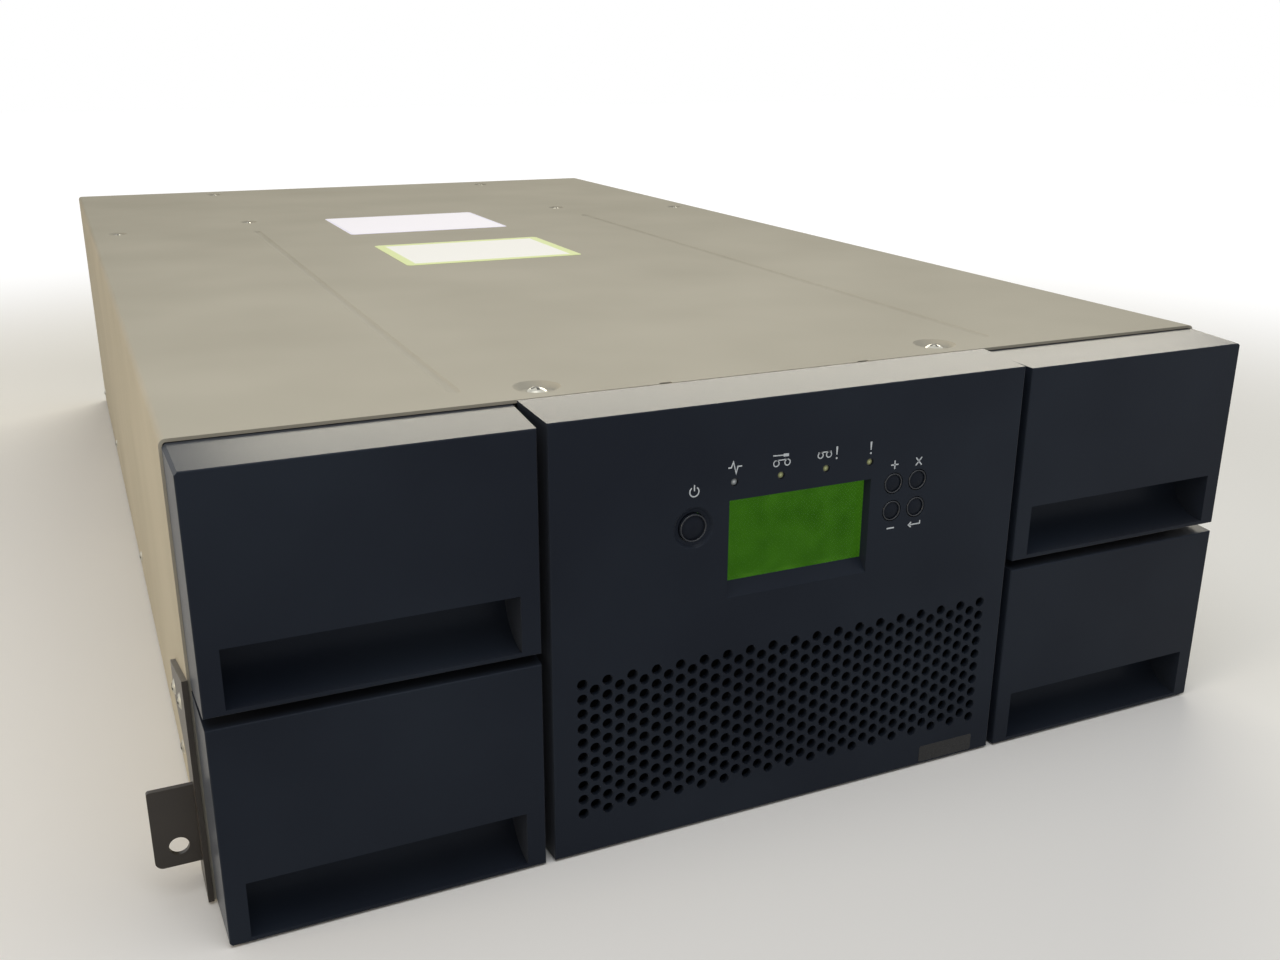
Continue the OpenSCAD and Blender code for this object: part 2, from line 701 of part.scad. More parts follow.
// Places on the operator panel, measured down from the top of the centre bezel
display_z = centre_z1 - display_drop;
power_at = [power_x, centre_z1 - power_drop];
key_points = [
    for (row = [0, 1], column = [0, 1])
        [key_x + column * key_pitch, centre_z1 - key_drop + row * key_pitch]
];
lamp_points = [for (i = [0:3]) [lamp_x + i * lamp_pitch, centre_z1 - lamp_drop]];
centre_depth = front_zone - cover_line;
display_x0 = display_x - display_w / 2;
display_x1 = display_x + display_w / 2;
display_z1 = display_z + display_h;
window_margin = 2;
window_y = bezel_y + display_d;
window_end_y = window_y + window_t;
window_gap = 0.1;
board_y = bezel_y + 15;
board_x = 74;
post_d = 7;
post_x = centre_w / 2 - 10.3;
posts = [for (x = [-post_x, post_x], z = [9, board_z0 + 6, board_z1 + 6]) [x, z]];
post_y = bezel_y + 1;
dish_boss_l = 5;

// The frame behind the display opening, and the sloping sill below the window
module display_frame() box(
    [display_x0 - window_margin - bezel_wall, bezel_y + 1, display_z - window_margin],
    [display_x1 + window_margin + bezel_wall, window_end_y + 1.5, display_z1 + window_margin + bezel_wall]);

module display_cut() {
    box([display_x0, bezel_y - cut, display_z + sill_h], [display_x1, board_y, display_z1]);
    along_x(display_x0, display_w) polygon([
        [bezel_y - cut, display_z], [bezel_y, display_z], [window_y, display_z + sill_h],
        [window_y, display_z1], [bezel_y - cut, display_z1]
    ]);
    box([display_x0 - window_margin, window_y, display_z + sill_h - window_margin],
        [display_x1 + window_margin, board_y, display_z1 + window_margin]);
}

// A shallow dish around the power button
module power_dish() translate([power_at.x, bezel_y, power_at.y]) rotate([-90, 0, 0]) rotate_extrude()
    let (r = power_dish_d / 2, depth = power_dish_depth) polygon([
        [0, -cut], [r, -cut], [r, 0], [r - 1.2, depth * 0.8], [r - 2.2, depth], [0, depth]
    ]);

module centre_bezel() color([0.13, 0.15, 0.18]) difference() {
    union() {
        difference() {
            drafted_block([-centre_w / 2, bezel_z], [centre_w / 2, centre_z1], centre_depth,
                          [side_draft, side_draft, 0, top_draft]);
            along_y(bezel_y + bezel_wall, centre_depth) round_rect(
                [-centre_w / 2 + bezel_wall, bezel_z + bezel_wall],
                [centre_w / 2 - bezel_wall, centre_z1 - bezel_wall], inside_r * [1, 1, 1, 1]);
        }
        display_frame();
        for (at = posts) rod_y([at.x, post_y, at.y], post_d, frame_y - post_y);
        rod_y([power_at.x, post_y, power_at.y], power_dish_d + 2, dish_boss_l);
    }
    display_cut();
    power_dish();
    through = board_y - bezel_y;
    rod_y([power_at.x, bezel_y - cut, power_at.y], power_d + 2 * key_gap, through);
    for (at = key_points) rod_y([at.x, bezel_y - cut, at.y], key_d + 2 * key_gap, through);
    for (at = lamp_points) rod_y([at.x, bezel_y - cut, at.y], lamp_d, through);
    along_y(bezel_y - cut, bezel_wall + 2 * cut)
        for (at = grille_points) translate(at) circle(d = grille_hole_d, $fn = 16);
}

module display_window() color([0.35, 0.6, 0.2]) box(
    [display_x0 - window_margin + window_gap, window_y, display_z + sill_h - window_margin + window_gap],
    [display_x1 + window_margin - window_gap, window_end_y, display_z1 + window_margin - window_gap]);

// The display module: its glass behind the window and its frame on the board
module display_module() color([0.7, 0.7, 0.65]) {
    glass_end_y = window_end_y + 2;
    box([display_x0 + 1, window_end_y, display_z + sill_h + 1],
        [display_x1 - 1, glass_end_y, display_z1 - 1]);
    box([display_x0 - 6, glass_end_y, display_z - 2], [display_x1 + 4, board_y, display_z1 + 1]);
}

lamp_inset = 0.6;
lamp_gap = 0.1;

module status_lamps() color([0.75, 0.8, 0.55]) for (at = lamp_points) {
    rod_y([at.x, bezel_y + lamp_inset, at.y], lamp_d - lamp_gap, board_y - bezel_y - lamp_inset);
}

contact_h = 4; // height of a key's switch on the board
contact_w = 6;
board_hole_d = 3.2;
board_hole_inset = 4;
spacer_d = 5;
spacer_inset = [6, 14];

module panel_board() color([0.1, 0.35, 0.2]) {
    difference() {
        box([-board_x, board_y, board_z0], [board_x, board_y + board_t, board_z1]);
        for (x = [-1, 1] * (board_x - board_hole_inset),
             z = [board_z0 + board_hole_inset, board_z1 - board_hole_inset])
            rod_y([x, board_y - cut, z], board_hole_d, board_t + 2 * cut);
    }
    for (at = concat([power_at], key_points))
        translate([at.x - contact_w / 2, board_y - contact_h, at.y - contact_w / 2])
            cube([contact_w, contact_h, contact_w]);
    for (x = [-1, 1] * (board_x - spacer_inset.x), z = [board_z0 + spacer_inset.y, board_z1 - spacer_inset.y])
        rod_y([x, board_y + board_t, z], spacer_d, frame_y - board_y - board_t);
}

key_dome = 1.4; // radius of a key's dome in key diameters
key_rest_gap = 0.3;

// A key: a round plunger with a domed face, reaching back towards its switch
module push_key(at, d) {
    back_y = board_y - contact_h - key_travel - key_rest_gap;
    dome_r = d * key_dome;
    translate([at.x, bezel_y, at.y]) rotate([-90, 0, 0]) rotate_extrude() intersection() {
        square([d / 2, back_y - bezel_y]);
        translate([0, dome_r]) circle(dome_r);
    }
}

module power_button() color([0.14, 0.16, 0.19]) push_key(power_at, power_d);
module minus_key() color([0.14, 0.16, 0.19]) push_key(key_points[0], key_d);
module enter_key() color([0.14, 0.16, 0.19]) push_key(key_points[1], key_d);
module plus_key() color([0.14, 0.16, 0.19]) push_key(key_points[2], key_d);
module cancel_key() color([0.14, 0.16, 0.19]) push_key(key_points[3], key_d);

// --- magazines -------------------------------------------------------------

// One bay, right-hand side: side wall, floor and middle shelf with guide lips
module magazine_bay() {
    l = bay_end_y - frame_y - frame_t;
    along_y(frame_y + frame_t, l) {
        rect([bay_wall_x, pan_t], [bay_wall_x + frame_t, inner_z]);
        for (rise = [0, upper_rise]) {
            rect([lip_x, pan_t + rise], [bay_wall_x, bay_floor_z + rise]);
            rect([lip_x, pan_t + rise], [lip_x + lip_t, bay_floor_z + guide_lip_h + rise]);
        }
    }
}

module right_magazine_bay() color([0.6, 0.61, 0.62]) magazine_bay();
module left_magazine_bay() color([0.6, 0.61, 0.62]) mirror([1, 0, 0]) magazine_bay();

runner_w = 6;
nose_wall = 2;
guide_rib_h = 4;
slot_window_w = 56;
slot_window_h = 10;

// One tray, right-hand side: shelves, dividers, outer wall, nose, runners and guide ribs
module magazine_tray(rise) {
    z0 = tray_z + rise;
    z1 = tray_end_z + rise;
    y1 = slots_end_y + divider_t / 2;
    shelf_z = [for (row = [1:slot_rows]) slot_z + rise + row * row_pitch - shelf_t];
    difference() {
        box([tray_x0, tray_y, z0], [tray_x1, y1, z1]);
        box([tray_x0 + nose_wall, tray_y + frame_t, z0 + nose_wall],
            [tray_x1 - nose_wall, slots_y - divider_t / 2 - nose_wall, z1 - nose_wall]);
        for (row = [0:slot_rows - 1], i = [0:slot_columns - 1])
            box([tray_x0 - cut, slots_y + i * slot_pitch + divider_t / 2, slot_z + rise + row * row_pitch],
                [tray_x1 - tray_wall, slots_y + (i + 1) * slot_pitch - divider_t / 2, shelf_z[row]]);
        for (row = [0:slot_rows - 1], i = [0:slot_columns - 1])
            slot_window([tray_x1 - tray_wall - cut, slots_y + (i + 0.5) * slot_pitch,
                         slot_z + rise + (row + 0.5) * row_pitch - shelf_t / 2]);
    }
    for (x = [tray_x0, tray_x1 - runner_w])
        box([x, tray_y + bezel_wall, bay_floor_z + slide_gap + rise], [x + runner_w, y1, z0]);
    for (z = [z0 + guide_rib_h, z1 - 2 * guide_rib_h])
        box([tray_x1, frame_y - 2, z], [tray_x1 + guide_rib, y1, z + guide_rib_h]);
}

// A long hole through the tray's outer wall behind a cartridge
module slot_window(at) translate(at) along_x(0, tray_wall + 2 * cut)
    let (half = [slot_window_w, slot_window_h] / 2) round_rect(-half, half, half.y * [1, 1, 1, 1]);

module upper_right_tray() color([0.25, 0.26, 0.28]) magazine_tray(upper_rise);
module lower_right_tray() color([0.25, 0.26, 0.28]) magazine_tray(0);
module upper_left_tray() color([0.25, 0.26, 0.28]) mirror([1, 0, 0]) magazine_tray(upper_rise);
module lower_left_tray() color([0.25, 0.26, 0.28]) mirror([1, 0, 0]) magazine_tray(0);

label_w = 62;
label_h = 11;
label_depth = 0.5;
notch_r = 4;
notch_at = 14;

// A tape cartridge with its label field and the grip notches at its sides
module cartridge() difference() {
    box([0, -cartridge_w / 2, 0], [cartridge_l, cartridge_w / 2, cartridge_t]);
    box([-cut, -label_w / 2, (cartridge_t - label_h) / 2],
        [label_depth, label_w / 2, (cartridge_t + label_h) / 2]);
    for (y = [-cartridge_w / 2, cartridge_w / 2])
        translate([notch_at, y, cartridge_t / 2]) cylinder(r = notch_r, h = cartridge_t, center = true);
}

module magazine_cartridges(rise) for (row = [0:slot_rows - 1], i = [0:slot_columns - 1])
    translate([cartridge_x0, slots_y + (i + 0.5) * slot_pitch, slot_z + rise + row * row_pitch]) cartridge();

module upper_right_cartridges() color([0.1, 0.1, 0.12]) magazine_cartridges(upper_rise);
module lower_right_cartridges() color([0.1, 0.1, 0.12]) magazine_cartridges(0);
module upper_left_cartridges() color([0.1, 0.1, 0.12]) mirror([1, 0, 0]) magazine_cartridges(upper_rise);
module lower_left_cartridges() color([0.1, 0.1, 0.12]) mirror([1, 0, 0]) magazine_cartridges(0);

// --- robot -----------------------------------------------------------------

rail_inset = 0.5;

module robot_rails() color([0.75, 0.76, 0.78]) both_sides()
    box([rail_x - rail_size / 2, frame_y + frame_t + rail_inset, pan_t],
        [rail_x + rail_size / 2, stand_y - rail_inset, pan_t + rail_size]);

// The toothed belt, a flat loop round both pulleys, on the left
module robot_belt() color([0.08, 0.08, 0.08]) translate([0, 0, pulley_z])
    linear_extrude(belt_w) difference() {
        belt_outline(pulley_r + belt_t);
        belt_outline(pulley_r);
    }

module belt_outline(r) {
    rect([belt_x - r, belt_front_y], [belt_x + r, belt_back_y]);
    for (y = [belt_front_y, belt_back_y]) translate([belt_x, y]) circle(r);
}

pulley_pin_d = 4;
pulley_gap = 0.05; // gap between a pulley and the belt
drive_shaft_l = 8;
pin_end = 0.3; // how far the idler's pin comes out under its pulley
weld = 0.1; // how far two blocks of one piece run into each other
idler_half_w = 6;
idler_tab_h = 15;
motor_r = 12;
motor_h = 32;
stand_y = belt_back_y + 9;

// A belt pulley with its bore or shaft
module pulley(y) translate([belt_x, y, pulley_z]) cylinder(r = pulley_r - pulley_gap, h = belt_w);

module idler_pulley() color([0.8, 0.8, 0.8]) difference() {
    pulley(belt_front_y);
    translate([belt_x, belt_front_y, pulley_z - cut])
        cylinder(d = pulley_pin_d + 2 * running_gap, h = belt_w + 2 * cut);
}

module drive_pulley() color([0.8, 0.8, 0.8]) union() {
    pulley(belt_back_y);
    translate([belt_x, belt_back_y, pulley_z + belt_w - weld]) cylinder(d = pulley_pin_d, h = drive_shaft_l);
}

// The idler's bracket on the front frame, with its pin
module idler_bracket() color([0.6, 0.61, 0.62]) {
    y0 = frame_y + frame_t;
    w = 2 * idler_half_w;
    translate([belt_x - idler_half_w, y0, motor_plate_z]) {
        cube([w, belt_front_y + idler_half_w - y0, frame_t]);
        cube([w, frame_t, idler_tab_h]);
    }
    translate([belt_x, belt_front_y, pulley_z - pin_end])
        cylinder(d = pulley_pin_d, h = motor_plate_z - pulley_z + pin_end + weld);
}

// The belt motor on its folded stand
module belt_motor() color([0.3, 0.3, 0.32]) difference() {
    union() {
        box([belt_x - motor_r, belt_back_y - motor_r, motor_plate_z],
            [belt_x + motor_r, stand_y + frame_t, motor_plate_z + motor_plate_t]);
        box([belt_x - motor_r, stand_y, pan_t], [belt_x + motor_r, stand_y + frame_t, motor_plate_z]);
        translate([belt_x, belt_back_y, motor_plate_z + motor_plate_t]) cylinder(r = motor_r, h = motor_h);
    }
    translate([belt_x, belt_back_y, motor_plate_z - cut])
        cylinder(d = pulley_pin_d + 2 * running_gap, h = drive_shaft_l + 4);
}

belt_gap = 0.3; // gap between the belt and the post that it pulls
belt_post_y = [-76, -60];

cross_w = [21, 14]; // front and back cross plate, along Y

// The carriage: two shoes on the rails, two cross plates and the post inside the belt's loop
module carriage() color([0.7, 0.71, 0.73]) translate([0, robot_y, 0]) {
    both_sides() along_y(-carriage_front, carriage_front + carriage_back) difference() {
        rect([shoe_x0, shoe_z], [shoe_x1, shoe_end_z]);
        rect([rail_x - rail_size / 2 - rail_gap, shoe_z - cut],
             [rail_x + rail_size / 2 + rail_gap, pan_t + rail_size + rail_gap]);
    }
    box([-shoe_x0, -carriage_front, cross_z], [shoe_x0, -carriage_front + cross_w[0], cross_z + cross_t]);
    box([-shoe_x0, carriage_back - cross_w[1], cross_z], [shoe_x0, carriage_back, cross_z + cross_t]);
    box([belt_x - pulley_r + belt_gap, belt_post_y[0], shoe_end_z - cut],
        [belt_x + pulley_r - belt_gap, belt_post_y[1], pulley_z + belt_w]);
}

module at_columns() for (x = [-column_at.x, column_at.x]) translate([x, -column_at.y, 0]) children();

bar_w = 14;
column_end = 1.2; // how far the columns reach into the bar

module lift_columns() color([0.8, 0.81, 0.82]) translate([0, robot_y, 0]) {
    at_columns() translate([0, 0, cross_z + cross_t])
        cylinder(d = column_d, h = top_bar_z - cross_z - cross_t);
    difference() {
        box([-shoe_x0, -column_at.y - bar_w / 2, top_bar_z],
            [shoe_x0, -column_at.y + bar_w / 2, top_bar_z + top_bar_t]);
        at_columns() translate([0, 0, top_bar_z + column_end]) cylinder(d = column_d, h = top_bar_t);
    }
}

motor_size = [21, 18, block_h - 6.5];
screw_gap = 0.3;

module at_screw() translate([screw_at.x, robot_y - screw_at.y, cross_z + cross_t]) children();

module lift_motor() color([0.25, 0.25, 0.27]) at_screw() difference() {
    translate([-motor_size.x / 2, -motor_size.y / 2, 0]) cube(motor_size);
    translate([0, 0, -cut]) cylinder(d = column_d + 2 * screw_gap, h = motor_size.z + 2 * cut);
}

module lift_screw() color([0.78, 0.78, 0.75]) at_screw() translate([0, 0, screw_gap])
    cylinder(d = column_d, h = top_bar_z - cross_z - cross_t - 2 * screw_gap);

tongue_x = 40;
tongue_y = 40;
block_y = [-76, -50];
arm_y = -57.5; // front of the arms and the crossbar that carry the tongue
nut_h = 6;

// The elevator: two guide blocks with arms down to a crossbar, the screw's nut on the right,
// and the tongue that carries the turntable's pivot
module elevator() color([0.66, 0.67, 0.7]) translate([0, robot_y, 0]) difference() {
    block_end_z = block_z + block_h;
    bore_d = column_d + 2 * running_gap;
    union() {
        both_sides() {
            box([block_x0, block_y[0], block_z], [block_x1, block_y[1], block_end_z]);
            box([block_x0, arm_y, cross_z], [block_x1, block_y[1], block_end_z]);
        }
        box([screw_at.x - 10, -screw_at.y - 9, block_end_z - nut_h],
            [block_x0 + cut, -screw_at.y + 9, block_end_z]);
        box([-block_x0 - cut, arm_y, cross_z], [block_x0 + cut, block_y[1], cross_z + lift_t]);
        box([-tongue_x, block_y[1] - cut, cross_z], [tongue_x, tongue_y, cross_z + lift_t]);
        translate([0, 0, cross_z]) cylinder(d = pivot_d, h = lift_t + table_gap + table_t - pivot_inset);
    }
    at_columns() translate([0, 0, cross_z - cut]) cylinder(d = bore_d, h = top_bar_z);
    translate([screw_at.x, -screw_at.y, cross_z - cut]) cylinder(d = bore_d, h = top_bar_z);
}

table_x0 = -58;
table_x1 = 52;
table_y = 54;
side_t = 1.5;
table_h = cartridge_t + 1.5;
pivot_inset = 0.2;
table_slot_y = [-40, 30];

// The turntable: a floor with a pivot hole and two long slots, between two side walls
module turntable() color([0.72, 0.72, 0.7]) translate([0, robot_y, table_z]) difference() {
    union() {
        box([table_x0, -table_y, 0], [table_x1, table_y, table_t]);
        for (y = [-table_y, table_y - side_t])
            box([table_x0, y, 0], [table_x1, y + side_t, slot_z - table_z + table_h]);
    }
    translate([0, 0, -cut]) cylinder(d = pivot_d + 2 * running_gap, h = table_t + 2 * cut);
    for (y = table_slot_y) box([table_x0 + 12, y, -cut], [table_x1 - 12, y + 10, table_t + cut]);
}

slide_t = 1;
slide_gap_z = 0.2;
slide_y = 36;
push_block = [8, 80, 15];
jaw_w = 8;
jaw_t = 3;
jaw_h = 9;
jaw_y = [-42, 34];
jaw_x = table_x1 - 5;

// The gripper: a flat slide with a push block at its back and two jaws at its front
module gripper() color([0.85, 0.85, 0.83]) translate([0, robot_y, table_z + table_t + slide_gap_z]) {
    box([table_x0 + 8, -slide_y, 0], [table_x1 - 8, slide_y, slide_t]);
    translate([table_x0 + 4, -push_block.y / 2, 0]) cube(push_block);
    for (y = jaw_y) {
        box([jaw_x - 5, y, 0], [jaw_x + jaw_t, y + jaw_w, slide_t]);
        box([jaw_x, y, 0], [jaw_x + jaw_t, y + jaw_w, jaw_h]);
    }
}

// --- drives ----------------------------------------------------------------

flange_z = cabinet_h - small_dimple_depth - cover_t - frame_t;
flange_w = 10; // how far a flange reaches past its screw
flange_half_l = 14;

// The drive cage: two side plates, two shelves and the flanges for the cover screws
module drive_cage() color([0.6, 0.61, 0.62]) {
    along_y(cage_y, panel_y - cage_y) {
        both_sides() rect([cage_w / 2, pan_t], [cage_x, inner_z]);
        for (i = [0, 1]) let (z = cage_floor_z + i * bay_pitch)
            rect([-cage_w / 2, z - frame_t], [cage_w / 2, z]);
    }
    both_sides() for (y = cage_screw_y) let (screw_y = cover_end_y - y) difference() {
        box([cage_x, screw_y - flange_half_l, flange_z],
            [cage_screw_x + flange_w, screw_y + flange_half_l, flange_z + frame_t]);
        translate([cage_screw_x, screw_y, flange_z - cut]) cylinder(d = screw_d, h = frame_t + 2 * cut);
    }
}

sled_w = cage_w - 2;
sled_h = drive_bay_h - 1;
drive_y = cage_y + 4;
mouth_w = cartridge_w + 2.5;
mouth_h = cartridge_t + 2.5;
mouth_d = 26;
drive_t = 1.5;
drive_face_t = 3;

// One tape drive: a housing open at the back, with the mouth that takes a cartridge
module tape_drive(i) {
    z0 = cage_floor_z + i * bay_pitch + module_t;
    mouth_z = z0 + (drive_h - mouth_h) / 2;
    difference() {
        box([-drive_w / 2, drive_y, z0], [drive_w / 2, drive_y + drive_l, z0 + drive_h]);
        difference() {
            box([-drive_w / 2 + drive_t, drive_y + drive_face_t, z0 + drive_t],
                [drive_w / 2 - drive_t, drive_y + drive_l + cut, z0 + drive_h - drive_t]);
            box([-mouth_w / 2 - drive_t, drive_y, mouth_z - drive_t],
                [mouth_w / 2 + drive_t, drive_y + mouth_d + drive_t, mouth_z + mouth_h + drive_t]);
        }
        box([-mouth_w / 2, drive_y - cut, mouth_z], [mouth_w / 2, drive_y + mouth_d, mouth_z + mouth_h]);
    }
}

module lower_drive() color([0.18, 0.18, 0.2]) tape_drive(0);
module upper_drive() color([0.18, 0.18, 0.2]) tape_drive(1);

// Holes of a round vent in a face plate: rings of small holes
module round_vent(at, d, hole_d) translate(at) {
    step = hole_d * 1.45;
    circle(d = hole_d);
    for (i = [1:floor((d - hole_d) / 2 / step)], k = [0:6 * i - 1])
        rotate(k * 60 / i) translate([i * step, 0]) circle(d = hole_d);
}

port_w = 22;
port_h = 8;
port_d = 10;
sled_port_x = [6, 36];
sled_port_z = 20;
sled_side_h = drive_h - 23;
sled_vent_at = [-46, 24];
sled_vent_d = 36;
vent_hole_d = 4.2;
sled_lamp_x = [-30, -22, -14];
sled_lamp_d = 3;
sled_face_half_w = cage_w / 2 + 2;
sled_face_rise = 0.5;
thumb_x = 67;
thumb_drop = 10; // from a sled's top edge to its thumbscrews

// One sled: a tray for the drive behind a face plate with vent, ports, lamps and screw holes
module drive_sled(i) {
    z0 = cage_floor_z + i * bay_pitch;
    screw_z = z0 + sled_h - thumb_drop;
    difference() {
        union() {
            along_y(drive_y, module_y - drive_y) difference() {
                rect([-sled_w / 2, z0], [sled_w / 2, z0 + sled_side_h]);
                rect([-sled_w / 2 + module_t, z0 + module_t], [sled_w / 2 - module_t, z0 + sled_h]);
            }
            along_y(module_y, face_t)
                rect([-sled_face_half_w, z0 + sled_face_rise],
                     [sled_face_half_w, z0 + sled_h + sled_face_rise]);
        }
        along_y(module_y - cut, face_t + 2 * cut) {
            round_vent([sled_vent_at.x, z0 + sled_vent_at.y], sled_vent_d, vent_hole_d);
            for (x = sled_port_x) translate([x - port_w / 2, z0 + sled_port_z]) square([port_w, port_h]);
            for (x = [-thumb_x, thumb_x]) translate([x, screw_z]) circle(d = screw_d);
            for (x = sled_lamp_x) translate([x, screw_z]) circle(d = sled_lamp_d);
        }
    }
    for (x = sled_port_x) port_shell([x, module_y - port_d, z0 + sled_port_z], [port_w, port_d, port_h]);
}

// A metal socket shell behind a face plate, closed at its inner end
module port_shell(at, size) translate([at.x - size.x / 2, at.y, at.z]) difference() {
    translate(-module_t * [1, 1, 1]) cube(size + module_t * [2, 1, 2]);
    cube(size + [0, cut, 0]);
}

module lower_sled() color([0.62, 0.62, 0.63]) drive_sled(0);
module upper_sled() color([0.62, 0.62, 0.63]) drive_sled(1);

grip_w = 62;
grip_h = 8;

handle_x = 21;
handle_drop = 16; // from a sled's top edge to the middle of its handle
handle_end_y = cover_end_y + rear_reach;

// A pull handle standing out of a module's face: two legs and a grip across
module pull_handle(x, z) difference() {
    along_y(face_y, handle_end_y - face_y)
        rect([x - grip_w / 2, z - grip_h / 2], [x + grip_w / 2, z + grip_h / 2]);
    along_y(face_y - cut, handle_end_y - face_y - grip_t + cut)
        rect([x - grip_w / 2 + grip_t, z - grip_h], [x + grip_w / 2 - grip_t, z + grip_h]);
}

module sled_handles() color([0.1, 0.1, 0.11]) for (i = [0, 1])
    pull_handle(handle_x, cage_floor_z + i * bay_pitch + sled_h - handle_drop);

thumb_d = 9;
thumb_l = 9;
thumb_shank = 4;
thumb_side = 7; // from a housing's side to its thumbscrews
thumb_top = 8; // from a housing's top to its thumbscrews
supply_x0 = -side_bay_x1;
supply_x1 = -side_bay_x0;
controller_x0 = side_bay_x0;
controller_x1 = side_bay_x1;
supply_z = pan_t;
supply_end_z = supply_z + supply_h;
controller_end_z = supply_z + controller_h;
supply_screw_x = [supply_x0 + thumb_side, supply_x1 - thumb_side];
controller_screw_x = [controller_x0 + thumb_side, controller_x1 - thumb_side];

// A thumbscrew standing out of a face, its shank reaching in
module thumbscrew(x, z) {
    rod_y([x, face_y, z], thumb_d, thumb_l);
    rod_y([x, module_y - thumb_shank, z], screw_d, thumb_shank + face_t);
}

module thumbscrews() color([0.15, 0.25, 0.55]) {
    for (i = [0, 1], x = [-thumb_x, thumb_x])
        thumbscrew(x, cage_floor_z + i * bay_pitch + sled_h - thumb_drop);
    for (x = supply_screw_x) thumbscrew(x, supply_end_z - thumb_top);
    for (x = controller_screw_x) thumbscrew(x, controller_end_z - thumb_top);
}

// --- rear panel and its modules ---------------------------------------------

corner_hole_inset = 6;
vent_w = 4;
vent_h = 24;
vent_pitch = 8;
vent_bar = 4; // metal left between two rows of slots
vent_rise = 10; // from a housing's top to the first row of slots

module rear_panel() color([0.62, 0.62, 0.63]) along_y(panel_y, frame_t) difference() {
    panel_outline();
    for (i = [0, 1]) let (z = cage_floor_z + i * bay_pitch)
        rect([-sled_w / 2 - module_gap, z - module_gap * i], [sled_w / 2 + module_gap, z + sled_h - cut]);
    rect([supply_x0 - module_gap, pan_t - cut], [supply_x1 + module_gap, supply_end_z + module_gap]);
    rect([controller_x0 - module_gap, pan_t - cut],
         [controller_x1 + module_gap, controller_end_z + module_gap]);
    rear_vents(-1, supply_end_z + vent_rise);
    rear_vents(1, controller_end_z + vent_rise);
    for (side = [-1, 1])
        translate([side * (inner_x - pan_t - corner_hole_inset), inner_z - corner_hole_inset])
            circle(d = screw_d);
}

// Rows of upright vent slots above a module
module rear_vents(side, z0) {
    columns = floor((side_bay_x1 - side_bay_x0 - vent_pitch) / vent_pitch);
    rows = floor((inner_z - corner_hole_inset - z0) / (vent_h + vent_bar));
    for (i = [0:columns - 1], row = [0:rows - 1])
        translate([side * (side_bay_x0 + (i + 1) * vent_pitch), z0 + row * (vent_h + vent_bar)])
            slot_y(vent_w, vent_h);
}

fan_x = supply_x0 + 38;
fan_z = supply_z + supply_h / 2;
ring_pitch = 6.5; // from one ring of the fan's grille to the next
ring_gap = 4.7; // open width between two rings
spoke_w = 2.4;
inlet_x = supply_x1 - 30;
inlet_z = supply_z + 30;
inlet_w = 24;
inlet_h = 16.5;
inlet_corner = 5;
inlet_depth = 17;
inlet_body = [28, 20, 21];
rim_t = 1.5;
rim_w = 2;
pin_size = [2, inlet_depth - 6, 4];
pin_at = [[-7, -2], [0, 2.5], [7, -2]];
switch_z = supply_z + 58;
switch_size = [19, 13];
switch_wall = 1.5;
switch_frame_l = 14;
switch_frame = switch_size + 2 * switch_wall * [1, 1];

// A flat rectangle of that size round a middle
module mid_rect(x, z, size) translate([x, z]) square(size, center = true);

// The power supply: a housing open at its inner end, with a ring grille over the fan
module power_supply() color([0.62, 0.62, 0.63]) difference() {
    union() {
        along_y(module_y - supply_l, supply_l) difference() {
            rect([supply_x0, supply_z], [supply_x1, supply_end_z]);
            rect([supply_x0 + module_t, supply_z + module_t],
                 [supply_x1 - module_t, supply_end_z - module_t]);
        }
        along_y(module_y, face_t)
            rect([supply_x0 - face_lap, supply_z], [supply_x1 + face_lap, supply_end_z + face_lap]);
    }
    along_y(module_y - cut, face_t + 2 * cut) {
        translate([fan_x, fan_z]) difference() {
            for (i = [0:3]) let (d = fan_d - 2 * i * ring_pitch) difference() {
                circle(d = d);
                circle(d = d - 2 * ring_gap);
            }
            for (a = [45, 135]) rotate(a) square([fan_d, spoke_w], center = true);
        }
        mid_rect(inlet_x, inlet_z, [inlet_body.x, inlet_body.z]);
        mid_rect(inlet_x, switch_z, switch_frame);
        for (x = supply_screw_x) translate([x, supply_end_z - thumb_top]) circle(d = screw_d);
    }
}

// The mains inlet with its three pins, and the frame that the switch rocks in
module power_inlet() color([0.06, 0.06, 0.06]) {
    rim_y = face_y + rim_t;
    difference() {
        union() {
            along_y(face_y - inlet_body.y, inlet_body.y)
                mid_rect(inlet_x, inlet_z, [inlet_body.x, inlet_body.z]);
            along_y(face_y, rim_t) translate([inlet_x, inlet_z])
                let (half = [inlet_body.x, inlet_body.z] / 2 + rim_w * [1, 1])
                    round_rect(-half, half, rim_w * [1, 1, 1, 1]);
        }
        along_y(rim_y - inlet_depth, inlet_depth + cut) inlet_outline();
    }
    for (at = pin_at)
        translate([inlet_x + at.x - pin_size.x / 2, rim_y - inlet_depth, inlet_z + at.y - pin_size.z / 2])
            cube(pin_size);
    difference() {
        union() {
            along_y(face_y - switch_frame_l, switch_frame_l) mid_rect(inlet_x, switch_z, switch_frame);
            along_y(face_y, rim_t) mid_rect(inlet_x, switch_z, switch_frame + 2 * rim_t * [1, 1]);
        }
        along_y(face_y - switch_frame_l + rim_w, switch_frame_l + rim_w)
            mid_rect(inlet_x, switch_z, switch_size);
        rod_x([inlet_x - switch_size.x / 2 - switch_bore, switch_y, switch_z],
              pivot_pin_d + 2 * running_gap, switch_size.x + 2 * switch_bore);
    }
}

